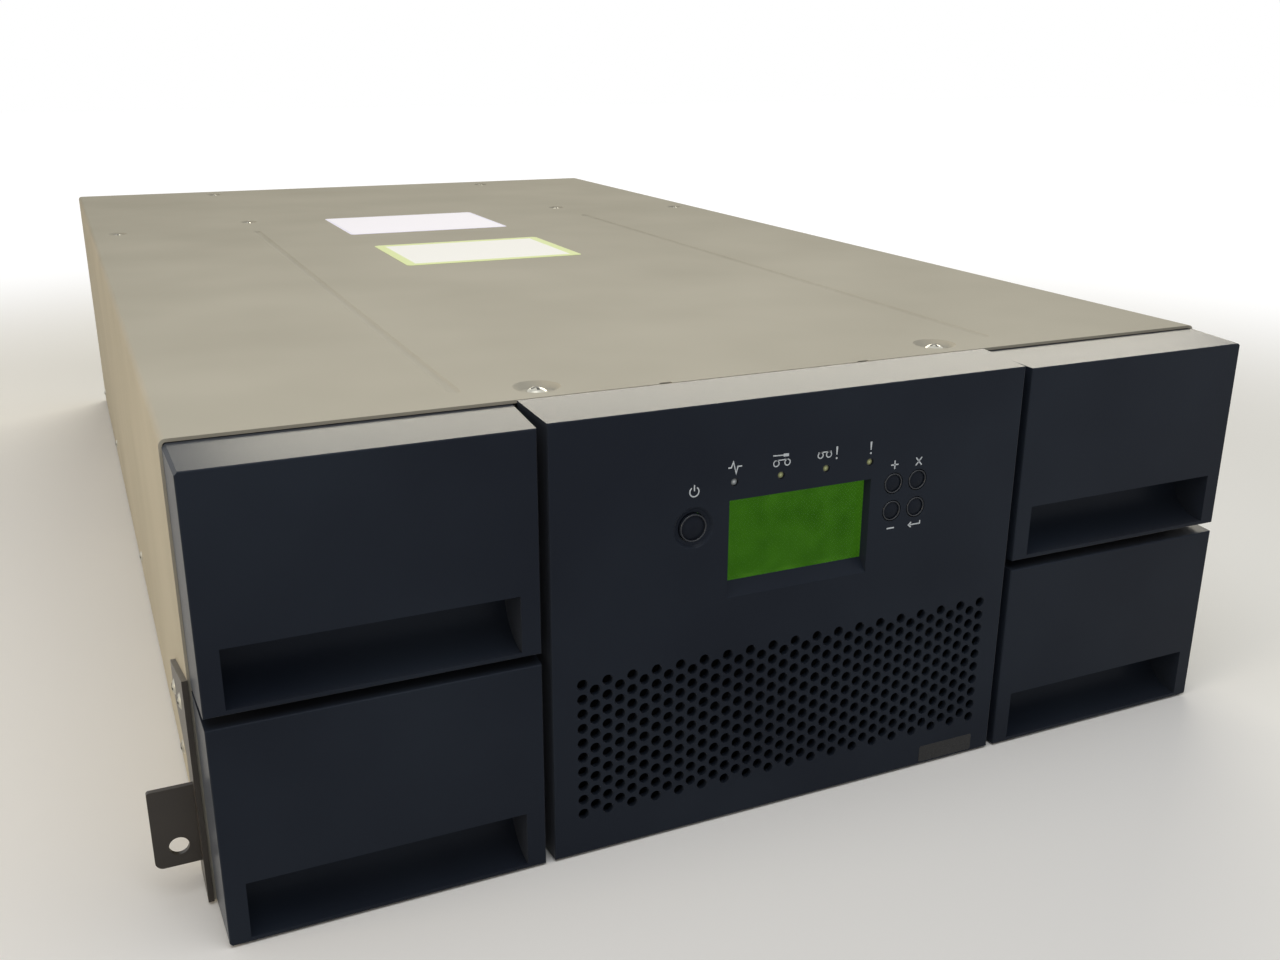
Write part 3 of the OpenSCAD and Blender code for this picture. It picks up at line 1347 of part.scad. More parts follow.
// The inlet's mouth: a rectangle with two cut corners
module inlet_outline() translate([inlet_x, inlet_z]) polygon([
    [-inlet_w / 2, -inlet_h / 2], [inlet_w / 2, -inlet_h / 2], [inlet_w / 2, inlet_h / 2 - inlet_corner],
    [inlet_w / 2 - inlet_corner, inlet_h / 2], [inlet_corner - inlet_w / 2, inlet_h / 2],
    [-inlet_w / 2, inlet_h / 2 - inlet_corner]
]);

switch_y = face_y - 3;
switch_tilt = 8;
switch_bore = 1.2; // depth of the pivot holes
pivot_pin_d = 3;
pivot_pin_l = 1.2;
rocker_d = 11;
rocker_gap = 0.3;
hollow_d = 13; // the two hollows that leave a ridge across the rocker
hollow_at = [10.3, 3.6];

// The rocker, tipped to its off side, with two pivot pins
module power_switch() color([0.5, 0.1, 0.08])
    translate([inlet_x, switch_y, switch_z]) rotate([-switch_tilt, 0, 0]) {
        half_w = switch_size.x / 2 - rocker_gap;
        end_x = half_w + cut;
        difference() {
            rod_x([-half_w, 0, 0], rocker_d, 2 * half_w);
            box([-end_x, -rocker_d, -rocker_d], [end_x, 0, rocker_d]);
            for (side = [-1, 1]) rod_x([-end_x, hollow_at.x, side * hollow_at.y], hollow_d, 2 * end_x);
        }
        rod_x([-half_w - pivot_pin_l, 0, 0], pivot_pin_d, 2 * (half_w + pivot_pin_l));
    }

fan_frame_l = 20;
fan_wall = 2;
hub_d = 20;
hub_l = 12;
fan_pin_d = 4;
fan_pin_l = 11.5;
spider_t = 3;
spider_w = 3;

// The fan's frame: a square duct with three spokes and the pin that the rotor turns on
module power_fan_frame() color([0.1, 0.1, 0.1]) translate([fan_x, module_y - fan_frame_l, fan_z]) {
    along_y(0, fan_frame_l) difference() {
        square(fan_d + 2 * fan_wall, center = true);
        circle(d = fan_d);
    }
    along_y(0, spider_t) {
        circle(d = hub_d);
        for (k = [0:2]) rotate(k * 120 + 30)
            translate([0, -spider_w / 2]) square([fan_d / 2 + 0.5, spider_w]);
    }
    rod_y([0, 2, 0], fan_pin_d, fan_pin_l);
}

blades = 7;
blade_t = 1.2;
blade_w = 18;
blade_pitch = 38;
blade_gap = 1; // between a blade's tip and the duct
blade_y = 0.5;

// The rotor: a hub with pitched blades
module power_fan() color([0.12, 0.12, 0.12]) translate([fan_x, module_y - fan_frame_l + spider_t + 1, fan_z])
    difference() {
        union() {
            rod_y([0, 0, 0], hub_d, hub_l);
            intersection() {
                rod_y([0, blade_y, 0], fan_d - 2 * blade_gap, hub_l - 2 * blade_y);
                for (k = [0:blades - 1]) rotate([0, k * 360 / blades, 0])
                    translate([0, hub_l / 2, 0]) rotate([0, 0, blade_pitch])
                        box([-blade_t / 2, -blade_w / 2, hub_d / 2 - 1.5],
                            [blade_t / 2, blade_w / 2, fan_d / 2]);
            }
        }
        rod_y([0, -cut, 0], fan_pin_d + 2 * running_gap, fan_pin_l - 0.5);
    }

socket_z = supply_z + 14;
board_drop = 2; // from the sockets' openings down to the board
socket_wall = 0.8;
socket_l = 14;
// Network, service and serial socket: place, width and height
socket_places = [[24, 13.4, 11.5], [52, 13.2, 7], [86, 20, 8]];
face_slots = 8;
face_slot_pitch = 9;

// The controller module: a housing open at its inner end behind a face plate
module controller_module() color([0.62, 0.62, 0.63]) difference() {
    union() {
        along_y(module_y - controller_l, controller_l) difference() {
            rect([controller_x0, supply_z], [controller_x1, controller_end_z]);
            rect([controller_x0 + module_t, supply_z + module_t],
                 [controller_x1 - module_t, controller_end_z - module_t]);
        }
        along_y(module_y, face_t)
            rect([controller_x0 - face_lap, supply_z],
                 [controller_x1 + face_lap, controller_end_z + face_lap]);
    }
    along_y(module_y - cut, face_t + 2 * cut) {
        for (p = socket_places) translate([controller_x0 + p[0] - p[1] / 2, socket_z - board_drop])
            square([p[1], p[2] + board_drop]);
        for (i = [0:face_slots - 1])
            translate([controller_x0 + 28 + i * face_slot_pitch, controller_end_z - 18]) slot_y(3, 12);
        for (x = controller_screw_x) translate([x, controller_end_z - thumb_top]) circle(d = screw_d);
    }
}

// The controller's board with its three sockets
module controller_sockets() color([0.2, 0.4, 0.28]) {
    box([controller_x0 + module_t, module_y - controller_l + 6, socket_z - 2 * board_drop],
        [controller_x1 - module_t, module_y, socket_z - board_drop]);
    for (p = socket_places)
        translate([controller_x0 + p[0] - p[1] / 2, module_y - socket_l, socket_z]) difference() {
            translate([0, 0, -board_drop]) cube([p[1], socket_l + face_t, p[2] + board_drop]);
            translate([socket_wall, 2, socket_wall])
                cube([p[1] - 2 * socket_wall, socket_l + face_t, p[2] - 2 * socket_wall]);
        }
}

base_pan();
top_cover();
front_frame();
rear_panel();
cover_screws();
side_screws();
left_rack_bracket();
right_rack_bracket();
centre_bezel();
display_window();
display_module();
status_lamps();
panel_board();
power_button();
plus_key();
cancel_key();
minus_key();
enter_key();
left_magazine_bay();
right_magazine_bay();
upper_left_bezel();
upper_left_tray();
upper_left_cartridges();
lower_left_bezel();
lower_left_tray();
lower_left_cartridges();
upper_right_bezel();
upper_right_tray();
upper_right_cartridges();
lower_right_bezel();
lower_right_tray();
lower_right_cartridges();
robot_rails();
robot_belt();
belt_motor();
idler_bracket();
drive_pulley();
idler_pulley();
carriage();
lift_columns();
lift_motor();
lift_screw();
elevator();
turntable();
gripper();
drive_cage();
lower_drive();
upper_drive();
lower_sled();
upper_sled();
sled_handles();
thumbscrews();
power_supply();
power_inlet();
power_switch();
power_fan_frame();
power_fan();
controller_module();
controller_sockets();
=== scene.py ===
"""Looks of a rack tape library: a finish for every solid, and its printed and fine parts.

Lengths are metres. X runs to the right, Y to the back and Z up.
"""

import math

import bpy
import numpy as np
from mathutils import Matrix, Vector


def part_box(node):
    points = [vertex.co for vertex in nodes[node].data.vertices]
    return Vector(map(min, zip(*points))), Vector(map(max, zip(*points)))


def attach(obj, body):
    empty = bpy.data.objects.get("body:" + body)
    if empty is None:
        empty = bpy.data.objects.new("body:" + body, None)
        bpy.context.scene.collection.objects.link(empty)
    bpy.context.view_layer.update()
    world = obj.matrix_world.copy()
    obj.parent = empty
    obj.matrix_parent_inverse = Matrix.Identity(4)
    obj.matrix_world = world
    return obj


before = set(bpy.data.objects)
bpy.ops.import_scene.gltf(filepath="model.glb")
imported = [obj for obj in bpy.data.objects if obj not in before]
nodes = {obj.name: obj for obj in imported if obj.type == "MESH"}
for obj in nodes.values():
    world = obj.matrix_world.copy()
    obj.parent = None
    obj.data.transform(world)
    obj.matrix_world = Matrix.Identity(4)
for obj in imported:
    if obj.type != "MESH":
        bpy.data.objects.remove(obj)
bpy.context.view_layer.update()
MM = 0.001
TAU = 2 * math.pi
MAGAZINES = tuple(f"{row}_{side}" for row in ("upper", "lower") for side in ("left", "right"))
BUTTONS = ("power_button", "plus_key", "cancel_key", "minus_key", "enter_key")
face_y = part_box("centre_bezel")[0].y
lamp_low, lamp_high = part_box("status_lamps")


# --- surfaces ---------------------------------------------------------------

def piece(name, verts, faces, finish, body="cabinet", smooth=True):
    """One mesh object from an array of points and an array of faces, riding on a body."""
    mesh = bpy.data.meshes.new(name)
    mesh.from_pydata(np.asarray(verts, float).reshape(-1, 3), [], [tuple(f) for f in faces])
    mesh.update()
    mesh.polygons.foreach_set("use_smooth", np.full(len(mesh.polygons), smooth))
    mesh.materials.append(finish)
    obj = bpy.data.objects.new(name, mesh)
    bpy.context.scene.collection.objects.link(obj)
    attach(obj, body)


def grid_faces(rows, columns, close_rows=False, close_columns=False):
    """Quads of a grid of points: corner (i, j) joins its next row and its next column."""
    i = np.arange(rows if close_rows else rows - 1)[:, None]
    j = np.arange(columns if close_columns else columns - 1)[None, :]
    i1, j1 = (i + 1) % rows, (j + 1) % columns
    corners = (i * columns + j, i * columns + j1, i1 * columns + j1, i1 * columns + j)
    return np.stack(np.broadcast_arrays(*corners), axis=-1).reshape(-1, 4)


def joined(parts):
    """Several (points, quads) surfaces as one: a part's quads count on from the points before."""
    verts = [np.asarray(v, float).reshape(-1, 3) for v, _ in parts]
    starts = np.cumsum([0] + [len(v) for v in verts[:-1]])
    faces = [np.asarray(quads) + start for (_, quads), start in zip(parts, starts)]
    return np.concatenate(verts), np.concatenate(faces)


def band(points, width, closed=False):
    """A flat line of one width in X and Z.

    At each point the two edges stand width / 2 along the mitre of its neighbours' directions,
    lengthened by 1 / cos of half the bend, so the line keeps its width round a corner. No edge is
    lengthened more than 2.5 times.
    """
    p = np.asarray(points, float)
    ahead = np.roll(p, -1, 0) - p
    back = p - np.roll(p, 1, 0)
    if not closed:
        ahead[-1], back[0] = back[-1], ahead[0]
    unit = [d / np.linalg.norm(d, axis=1, keepdims=True) for d in (ahead, back)]
    mitre = unit[0] + unit[1]
    mitre /= np.linalg.norm(mitre, axis=1, keepdims=True)
    side = np.stack([-mitre[:, 1], mitre[:, 0]], 1)
    reach = width / 2 / np.clip((mitre * unit[0]).sum(1, keepdims=True), 0.4, 1)
    edges = np.stack([p + side * reach, p - side * reach], 1)
    return edges, grid_faces(len(p), 2, close_rows=closed)


def arc(centre, radius, start, stop, steps):
    """Points of a circle from one angle to another, in degrees from the X axis."""
    a = np.radians(np.linspace(start, stop, steps))
    return np.stack([centre[0] + radius * np.cos(a), centre[1] + radius * np.sin(a)], 1)


def plate(name, low, high, normal, radius, thick, finish):
    """A thin plate with round corners on a face, which normal gives as an axis, a sign and a place.

    low and high are its corners in the two axes across the normal. The outline is four quarter
    circles; the plate is that outline at the face, again at 0.7 of the thickness and, drawn in by
    half the thickness, at the top, which softens the edge.
    """
    axis, sign, level = normal
    u, v = [k for k in range(3) if k != axis]
    corners = [(high[0] - radius, high[1] - radius, 0), (low[0] + radius, high[1] - radius, 90),
               (low[0] + radius, low[1] + radius, 180), (high[0] - radius, low[1] + radius, 270)]
    outline = np.concatenate([arc(c[:2], radius, c[2], c[2] + 90, 7) for c in corners])
    heart = outline.mean(0)
    shrink = 1 - 0.5 * thick / (np.abs(outline - heart).max(0) + 1e-9)
    top = heart + (outline - heart) * shrink
    rings = [(outline, 0.0), (outline, 0.7 * thick), (top, thick)]
    n = len(outline)
    verts = np.zeros((len(rings) * n + 1, 3))
    for k, (edge, h) in enumerate(rings):
        verts[k * n:(k + 1) * n, u] = edge[:, 0]
        verts[k * n:(k + 1) * n, v] = edge[:, 1]
        verts[k * n:(k + 1) * n, axis] = level + sign * h
    verts[-1, [u, v]], verts[-1, axis] = heart, level + sign * thick
    faces = [tuple(f) for f in grid_faces(len(rings), n, close_columns=True)]
    last = (len(rings) - 1) * n
    faces += [(last + k, last + (k + 1) % n, len(verts) - 1) for k in range(n)]
    piece(name, verts, faces, finish, smooth=False)


def turned(profile, at, axis, steps):
    """A profile of (radius, height) pairs turned about an axis through a point."""
    r, h = np.asarray(profile, float).T
    a = np.linspace(0, TAU, steps, endpoint=False)
    verts = np.zeros((len(r), steps, 3))
    verts[..., (axis + 1) % 3] = r[:, None] * np.cos(a)
    verts[..., (axis + 2) % 3] = r[:, None] * np.sin(a)
    verts[..., axis] = h[:, None]
    return verts + np.asarray(at), grid_faces(len(r), steps, close_columns=True)


def parts_of(node):
    """Lowest and highest corner of each loose part of a CAD node.

    Corners in one place count as one point. Every point starts with its own number, and each edge
    gives both its ends the lower of their two numbers until nothing changes: points with one
    number are one part.
    """
    mesh = nodes[node].data
    co = np.empty(len(mesh.vertices) * 3)
    mesh.vertices.foreach_get("co", co)
    co = co.reshape(-1, 3)
    ends = np.empty(len(mesh.edges) * 2, int)
    mesh.edges.foreach_get("vertices", ends)
    _, first, same = np.unique(co.round(6), axis=0, return_index=True, return_inverse=True)
    points, ends = co[first], same.ravel()[ends.reshape(-1, 2)]
    number = np.arange(len(points))
    while True:
        lowest = number.copy()
        np.minimum.at(lowest, ends[:, 0], number[ends[:, 1]])
        np.minimum.at(lowest, ends[:, 1], lowest[ends[:, 0]])
        lowest = lowest[lowest]
        if (lowest == number).all():
            break
        number = lowest
    return [(points[number == k].min(0), points[number == k].max(0)) for k in np.unique(number)]


# --- materials --------------------------------------------------------------

def paint_value(hex_code):
    """An sRGB hex colour as linear red, green, blue and an alpha of 1."""
    c = np.array([int(hex_code[k:k + 2], 16) for k in (1, 3, 5)]) / 255
    return (*np.where(c <= 0.04045, c / 12.92, ((c + 0.055) / 1.055) ** 2.4), 1.0)


def wire(tree, node, inputs):
    """Gives each named input of a node a value or another node's output."""
    for key, value in inputs.items():
        if isinstance(value, bpy.types.NodeSocket):
            tree.links.new(value, node.inputs[key])
        else:
            node.inputs[key].default_value = value


def add(tree, kind, inputs=None, stops=(), **settings):
    """Adds a node with its inputs and settings, and gives its outputs.

    stops are the places and hex colours of a colour ramp.
    """
    made = tree.nodes.new("ShaderNode" + kind)
    for key, value in settings.items():
        setattr(made, key, value)
    wire(tree, made, inputs or {})
    marks = made.color_ramp.elements if stops else ()
    while len(marks) < len(stops):
        marks.new(0.5)
    for mark, (place, colour) in zip(marks, stops):
        mark.position = place
        mark.color = paint_value(colour)
    return made.outputs


def material(name):
    """A new material, its node tree and the object's own coordinates in it."""
    mat = bpy.data.materials.new(name)
    mat.use_nodes = True
    return mat, mat.node_tree, add(mat.node_tree, "TexCoord")["Object"]


def shaded(mat, **inputs):
    """The material, with its Principled shader's inputs set to values or to nodes' outputs."""
    shader = mat.node_tree.nodes["Principled BSDF"]
    wire(mat.node_tree, shader, {key.replace("_", " "): value for key, value in inputs.items()})
    return mat


def grained(name, dark, light, grain_mm, depth_mm, rough, cloud_mm, **uniform):
    """A finish with two close colours in soft clouds, a fine grain in relief and a roughness that
    drifts with the grain."""
    mat, tree, where = material(name)
    clouds = add(tree, "TexNoise", {
        "Vector": where, "Scale": 1000 / cloud_mm, "Detail": 2.0, "Roughness": 0.5})["Fac"]
    grain = add(tree, "TexNoise", {
        "Vector": where, "Scale": 1000 / grain_mm, "Detail": 4.0, "Roughness": 0.65})["Fac"]
    return shaded(
        mat, **uniform,
        Base_Color=add(tree, "ValToRGB", {"Fac": clouds}, ((0.3, dark), (0.7, light)))["Color"],
        Roughness=add(tree, "MapRange", {
            "Value": grain, "To Min": rough[0], "To Max": rough[1]})["Result"],
        Normal=add(tree, "Bump", {"Height": grain, "Distance": depth_mm * MM})["Normal"])


# Textured polyester powder coat on the cover and pan: a close sand-like grain that breaks up the
# sheen. The real grain is about 0.4 mm; it is drawn at 0.9 mm so that it shows.
cover_paint = grained("textured_powder_coat", "#a8a497", "#b0ac9f", 0.9, 0.06, (0.7, 0.85), 90,
                      Specular_IOR_Level=0.03)

# ABS moulded in a spark-eroded tool: blue-tinted charcoal, dull and very finely grained, 0.35 mm
# grain drawn at 0.6 mm.
bezel_abs = grained("moulded_abs_charcoal", "#1e232d", "#242a34", 0.6, 0.02, (0.26, 0.36), 70,
                    Specular_IOR_Level=0.06, Sheen_Weight=0.12, Sheen_Roughness=0.3)

# The same ABS from another tool for the keys: a shade darker than the bezel around them.
key_abs = grained("moulded_abs_satin", "#191d26", "#1e232c", 1.2, 0.012, (0.34, 0.44), 20,
                  Specular_IOR_Level=0.06)

# The keys' rounded rims, rubbed smooth by fingers, so they catch a bright line from above.
rim_abs = grained("rubbed_abs_rim", "#1b1f27", "#232830", 1.2, 0.004, (0.22, 0.32), 10,
                  Specular_IOR_Level=0.4)

# Satin black cathodic paint on the rack brackets, with a brown cast and a soft shine.
bracket_paint = grained("satin_black_paint", "#28231e", "#332d26", 2.0, 0.02, (0.32, 0.46), 25)

# Matt near-black colour on the frame behind the bezels: painted shade, so that the gaps between
# them look dark.
frame_gap_shade = grained("frame_gap_painted_shade", "#0c0c0e", "#131316", 1.5, 0.02, (0.55, 0.7), 30)

# Grey moulded ABS of the magazine trays, with a fine even grain.
tray_abs = grained("moulded_abs_grey", "#54585e", "#5c6066", 0.6, 0.03, (0.45, 0.6), 50)

# Black polycarbonate cartridge shells, lightly grained.
cartridge_pc = grained("moulded_polycarbonate_black", "#16171a", "#1e1f23", 0.8, 0.03,
                       (0.32, 0.5), 40)

# Glass-filled nylon for grips, inlet and fan: black with a dull cloudy skin.
black_nylon = grained("glass_filled_nylon_black", "#131315", "#1c1c1f", 1.0, 0.03,
                      (0.42, 0.6), 15)

# Black lacquer on motor cans and drive cases, smooth and half bright.
motor_lacquer = grained("black_lacquer", "#1e1f22", "#2a2b2f", 3.0, 0.01, (0.25, 0.38), 30,
                        Coat_Weight=0.2, Coat_Roughness=0.2)

# Zinc-plated screws with a pale yellow passivation, dulled by handling.
screw_zinc = grained("zinc_plated_screw", "#adaba0", "#c4c3b8", 1.5, 0.01, (0.26, 0.38), 6,
                     Metallic=1.0)

# Red rocker of glossy moulded polycarbonate, with a small clear highlight.
rocker = grained("moulded_polycarbonate_red", "#5a120d", "#6b1813", 4.0, 0.01, (0.18, 0.28), 10)

# Screen-printed light grey ink, flat and slightly rough.
ink = grained("screen_print_grey", "#b4bcc4", "#c8cfd5", 0.3, 0.01, (0.5, 0.7), 3)

# Black vinyl of the bare identity sticker, darker and shinier than the bezel under it.
vinyl = grained("black_vinyl", "#08090b", "#0e0f12", 2.0, 0.01, (0.22, 0.34), 8)

# Matt paper labels of the cartridges: pale and without a shine in the dark rows.
paper = grained("matt_paper_white", "#d9dadb", "#e6e7e6", 0.5, 0.01, (0.6, 0.8), 12)

# Gold-plated spring contacts: warm glints in the dark of the socket.
gold = grained("gold_plating", "#c9a046", "#dcb65c", 0.8, 0.004, (0.18, 0.3), 3, Metallic=1.0)

# Painted shade on the floor of a screw's cross recess, where little light falls: a dark colour on
# flat bars over the head.
recess_shade = grained("screw_recess_painted_shade", "#1d1c19", "#2b2a26", 0.8, 0.01, (0.5, 0.7), 2)

# Open-celled polyurethane foam behind the grille, a black maze of cells 1.6 mm across: a dark sheet
# put there as painted shade, so that the grille's holes look dark.
grille_shade_foam = grained("grille_shade_foam_black", "#060607", "#0c0c0d", 1.6, 0.4, (0.8, 0.95), 8,
                      Specular_IOR_Level=0.1)

# Small smooth lenses of the drive sleds, a soft green while unlit.
sled_lens = grained("lens_polycarbonate_green", "#5f8f56", "#79a86c", 2.0, 0.005,
                    (0.15, 0.25), 2)


def zinc_sheet():
    """Galvanised sheet: flat crystals about 6 mm across, each a little lighter or duller."""
    mat, tree, where = material("galvanised_steel_sheet")
    cells = add(tree, "TexVoronoi", {"Vector": where, "Scale": 1000 / 6})["Color"]
    tint = add(tree, "SeparateColor", {"Color": cells})["Red"]
    grain = add(tree, "TexNoise", {
        "Vector": where, "Scale": 1000 / 1.4, "Detail": 3.0, "Roughness": 0.6})["Fac"]
    return shaded(
        mat, Metallic=1.0,
        Base_Color=add(tree, "ValToRGB", {"Fac": tint},
                       ((0.0, "#a6a9ab"), (1.0, "#b3b5b6")))["Color"],
        Roughness=add(tree, "MapRange", {"Value": tint, "To Min": 0.34, "To Max": 0.42})["Result"],
        Normal=add(tree, "Bump", {"Height": grain, "Distance": 0.01 * MM})["Normal"])


def brushed(name, dark, light, along, line_mm, rough):
    """Metal with fine lines along one axis: noise stretched forty times that way."""
    mat, tree, where = material(name)
    stretch = [1.0, 1.0, 1.0]
    stretch[along] = 1 / 40
    drawn = add(tree, "Mapping", {"Vector": where, "Scale": stretch})["Vector"]
    lines = add(tree, "TexNoise", {
        "Vector": drawn, "Scale": 1000 / line_mm, "Detail": 3.0, "Roughness": 0.6})["Fac"]
    return shaded(
        mat, Metallic=1.0,
        Base_Color=add(tree, "ValToRGB", {"Fac": lines}, ((0.3, dark), (0.7, light)))["Color"],
        Roughness=add(tree, "MapRange", {
            "Value": lines, "To Min": rough[0], "To Max": rough[1]})["Result"],
        Normal=add(tree, "Bump", {"Height": lines, "Distance": 0.006 * MM})["Normal"])


def toothed_rubber():
    """Neoprene timing belt: dull black with cross ribs, its colour darker in the grooves between
    them as painted shade. The real ribs stand 2 mm apart; they are drawn 12.6 mm apart, as a wave
    of scale 1 has 20 / TAU ribs in each metre."""
    mat, tree, where = material("neoprene_belt")
    ribs = add(tree, "TexWave", {"Vector": where, "Scale": 25.0}, bands_direction="Y")["Fac"]
    return shaded(
        mat, Roughness=0.7,
        # The colour follows the ribs: painted shade in the grooves.
        Base_Color=add(tree, "ValToRGB", {"Fac": ribs},
                       ((0.2, "#0d0d0d"), (0.8, "#1c1c1c")))["Color"],
        Normal=add(tree, "Bump", {"Height": ribs, "Distance": 0.2 * MM})["Normal"])


def circuit_board():
    """Glass-epoxy board under green solder resist: darker base, lighter copper tracks 0.6 mm wide
    in cells of 8.1 by 2 mm."""
    mat, tree, where = material("solder_resist_green")
    tracks = add(tree, "TexBrick", {
        "Vector": where, "Scale": 1000 / 9, "Mortar Size": 0.035, "Brick Width": 0.9,
        "Row Height": 0.22, "Color1": paint_value("#12452b"), "Color2": paint_value("#164d31"),
        "Mortar": paint_value("#2f7a4c")})
    return shaded(
        mat, Roughness=0.32, Coat_Weight=0.3, Base_Color=tracks["Color"],
        Normal=add(tree, "Bump", {"Height": tracks["Fac"], "Distance": 0.03 * MM})["Normal"])


def board_with_sockets():
    """The controller's board, green up to its upper face, and its black moulded sockets above."""
    mat, tree, where = material("socket_polyamide_black")
    up = add(tree, "SeparateXYZ", {"Vector": where})["Z"]
    board_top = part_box("controller_sockets")[0].z + 2 * MM
    place = add(tree, "MapRange", {
        "Value": up, "From Min": board_top, "From Max": board_top + 0.1 * MM})["Result"]
    grain = add(tree, "TexNoise", {
        "Vector": where, "Scale": 1000 / 0.8, "Detail": 3.0, "Roughness": 0.6})["Fac"]
    return shaded(
        mat, Roughness=0.4,
        Base_Color=add(tree, "ValToRGB", {"Fac": place},
                       ((0.0, "#144a2e"), (1.0, "#17181a")))["Color"],
        Normal=add(tree, "Bump", {"Height": grain, "Distance": 0.02 * MM})["Normal"])


def display_green():
    """A lit liquid crystal display: a green, slightly uneven backlight through a grid of dots. The
    real dots are 0.45 mm wide; they are drawn at 0.9 mm."""
    mat, tree, where = material("lcd_green")
    uneven = add(tree, "TexNoise", {
        "Vector": where, "Scale": 1000 / 9.0, "Detail": 4.0, "Roughness": 0.6})["Fac"]
    green = add(tree, "ValToRGB", {"Fac": uneven}, ((0.25, "#305c12"), (0.75, "#41701c")))["Color"]
    dots = add(tree, "TexChecker", {
        "Vector": where, "Scale": 1000 / 0.9,
        "Color1": (1, 1, 1, 1), "Color2": (0.86, 0.86, 0.86, 1)})["Color"]
    seen = add(tree, "Mix", {"Factor": 1.0, "A": green, "B": dots},
               data_type="RGBA", blend_type="MULTIPLY")["Result"]
    return shaded(mat, Base_Color=seen, Emission_Color=seen, Emission_Strength=0.7,
                  Roughness=0.5, Specular_IOR_Level=0.2)


def lamp_lens():
    """Milky polycarbonate light pipes: the first is unlit white, the others tinted yellow-green.

    The nearest lamp's middle is a whole number of lamp spacings from the first; from there outwards
    the lens goes from a painted highlight in its middle to its tint, then darkens, and its outer
    fifth is black: painted shade of a dark ring round the lens.
    """
    mat, tree, where = material("light_pipe_polycarbonate")
    part = add(tree, "SeparateXYZ", {"Vector": where})
    width = lamp_high.z - lamp_low.z
    first, step = lamp_low.x + width / 2, (lamp_high.x - lamp_low.x - width) / 3
    middle_z = (lamp_low.z + lamp_high.z) / 2
    count = add(tree, "MapRange", {
        "Value": part["X"], "From Min": first, "From Max": first + step}, clamp=False)["Result"]
    nearest = add(tree, "Math", {0: count}, operation="ROUND")[0]
    aside = add(tree, "Math", {0: count, 1: nearest}, operation="SUBTRACT")[0]
    across = add(tree, "Math", {0: aside, 1: step}, operation="MULTIPLY")[0]
    up = add(tree, "Math", {0: part["Z"], 1: middle_z}, operation="SUBTRACT")[0]
    off = add(tree, "CombineXYZ", {"X": across, "Y": up})["Vector"]
    away = add(tree, "VectorMath", {0: off}, operation="LENGTH")["Value"]
    edge = add(tree, "MapRange", {"Value": away, "From Max": width / 2})["Result"]
    # Each lens: a painted highlight in the middle, and painted shade darkening to a black ring at
    # the edge.
    white, green = [
        add(tree, "ValToRGB", {"Fac": edge},
            ((0.0, painted_highlight), (0.45, mid), (0.72, rim), (0.8, "#111317")))["Color"]
        for painted_highlight, mid, rim in (
            ("#e2e6e8", "#868e93", "#5d6468"), ("#d3d8a6", "#8b9158", "#5c6036"))]
    tint = add(tree, "Mix", {"Factor": nearest, "A": white, "B": green}, data_type="RGBA")["Result"]
    return shaded(mat, Roughness=0.25, Base_Color=tint)


def knurled_head():
    """A moulded blue screw head with straight grip ribs, its colour darker in the grooves between
    them as painted shade. The real ribs stand 0.8 mm apart; they are drawn 5 mm apart, as a wave of
    scale 1 has 20 / TAU ribs in each metre."""
    mat, tree, where = material("moulded_screw_head_blue")
    ribs = add(tree, "TexWave", {"Vector": where, "Scale": 62.5}, bands_direction="Z")["Fac"]
    return shaded(
        mat, Roughness=0.4,
        # The colour follows the ribs: painted shade in the grooves.
        Base_Color=add(tree, "ValToRGB", {"Fac": ribs},
                       ((0.2, "#1c2f63"), (0.8, "#2a4486")))["Color"],
        Normal=add(tree, "Bump", {"Height": ribs, "Distance": 0.15 * MM})["Normal"])


def clear_window():
    """Clear acrylic with an anti-glare coat: it reflects as little as an index of 1.1 would, and
    that blurs where it was wiped."""
    mat, tree, where = material("clear_acrylic")
    wiped = add(tree, "TexNoise", {
        "Vector": where, "Scale": 1000 / 12.0, "Detail": 3.0, "Roughness": 0.6})["Fac"]
    return shaded(
        mat, Base_Color=paint_value("#f4fbef"), IOR=1.1, Transmission_Weight=1.0,
        Roughness=add(tree, "MapRange", {
            "Value": wiped, "To Min": 0.02, "To Max": 0.08})["Result"])


def sticker(name, field, edge, low, high, border_mm):
    """A plain printed label: a field colour inside a border, found from the distance to its
    nearest side."""
    mat, tree, where = material(name)
    part = add(tree, "SeparateXYZ", {"Vector": where})
    sides = []
    for axis, key in ((0, "X"), (1, "Y")):
        heart, half = (low[axis] + high[axis]) / 2, (high[axis] - low[axis]) / 2
        off = add(tree, "Math", {0: part[key], 1: heart}, operation="SUBTRACT")[0]
        far = add(tree, "Math", {0: off}, operation="ABSOLUTE")[0]
        sides.append(add(tree, "Math", {0: half, 1: far}, operation="SUBTRACT")[0])
    near = add(tree, "Math", {0: sides[0], 1: sides[1]}, operation="MINIMUM")[0]
    place = add(tree, "MapRange", {"Value": near, "From Max": 2 * border_mm * MM})["Result"]
    waves = add(tree, "TexNoise", {
        "Vector": where, "Scale": 1000 / 14.0, "Detail": 2.0, "Roughness": 0.6})["Fac"]
    return shaded(
        mat, Roughness=0.6, Specular_IOR_Level=0.1,
        Base_Color=add(tree, "ValToRGB", {"Fac": place},
                       ((0.0, edge), (0.45, edge), (0.55, field)))["Color"],
        Normal=add(tree, "Bump", {"Height": waves, "Distance": 0.05 * MM})["Normal"])


zinc_steel = zinc_sheet()
# Ground rods: bright, with very fine lines along them.
ground_steel = brushed("ground_steel_rod", "#8f9192", "#b9bbbb", 2, 0.4, (0.12, 0.25))
# Rolled sheet of the robot: softer and paler, lined from front to back.
rolled_aluminium = brushed("rolled_aluminium", "#a2a4a6", "#c1c2c3", 1, 0.6, (0.22, 0.42))

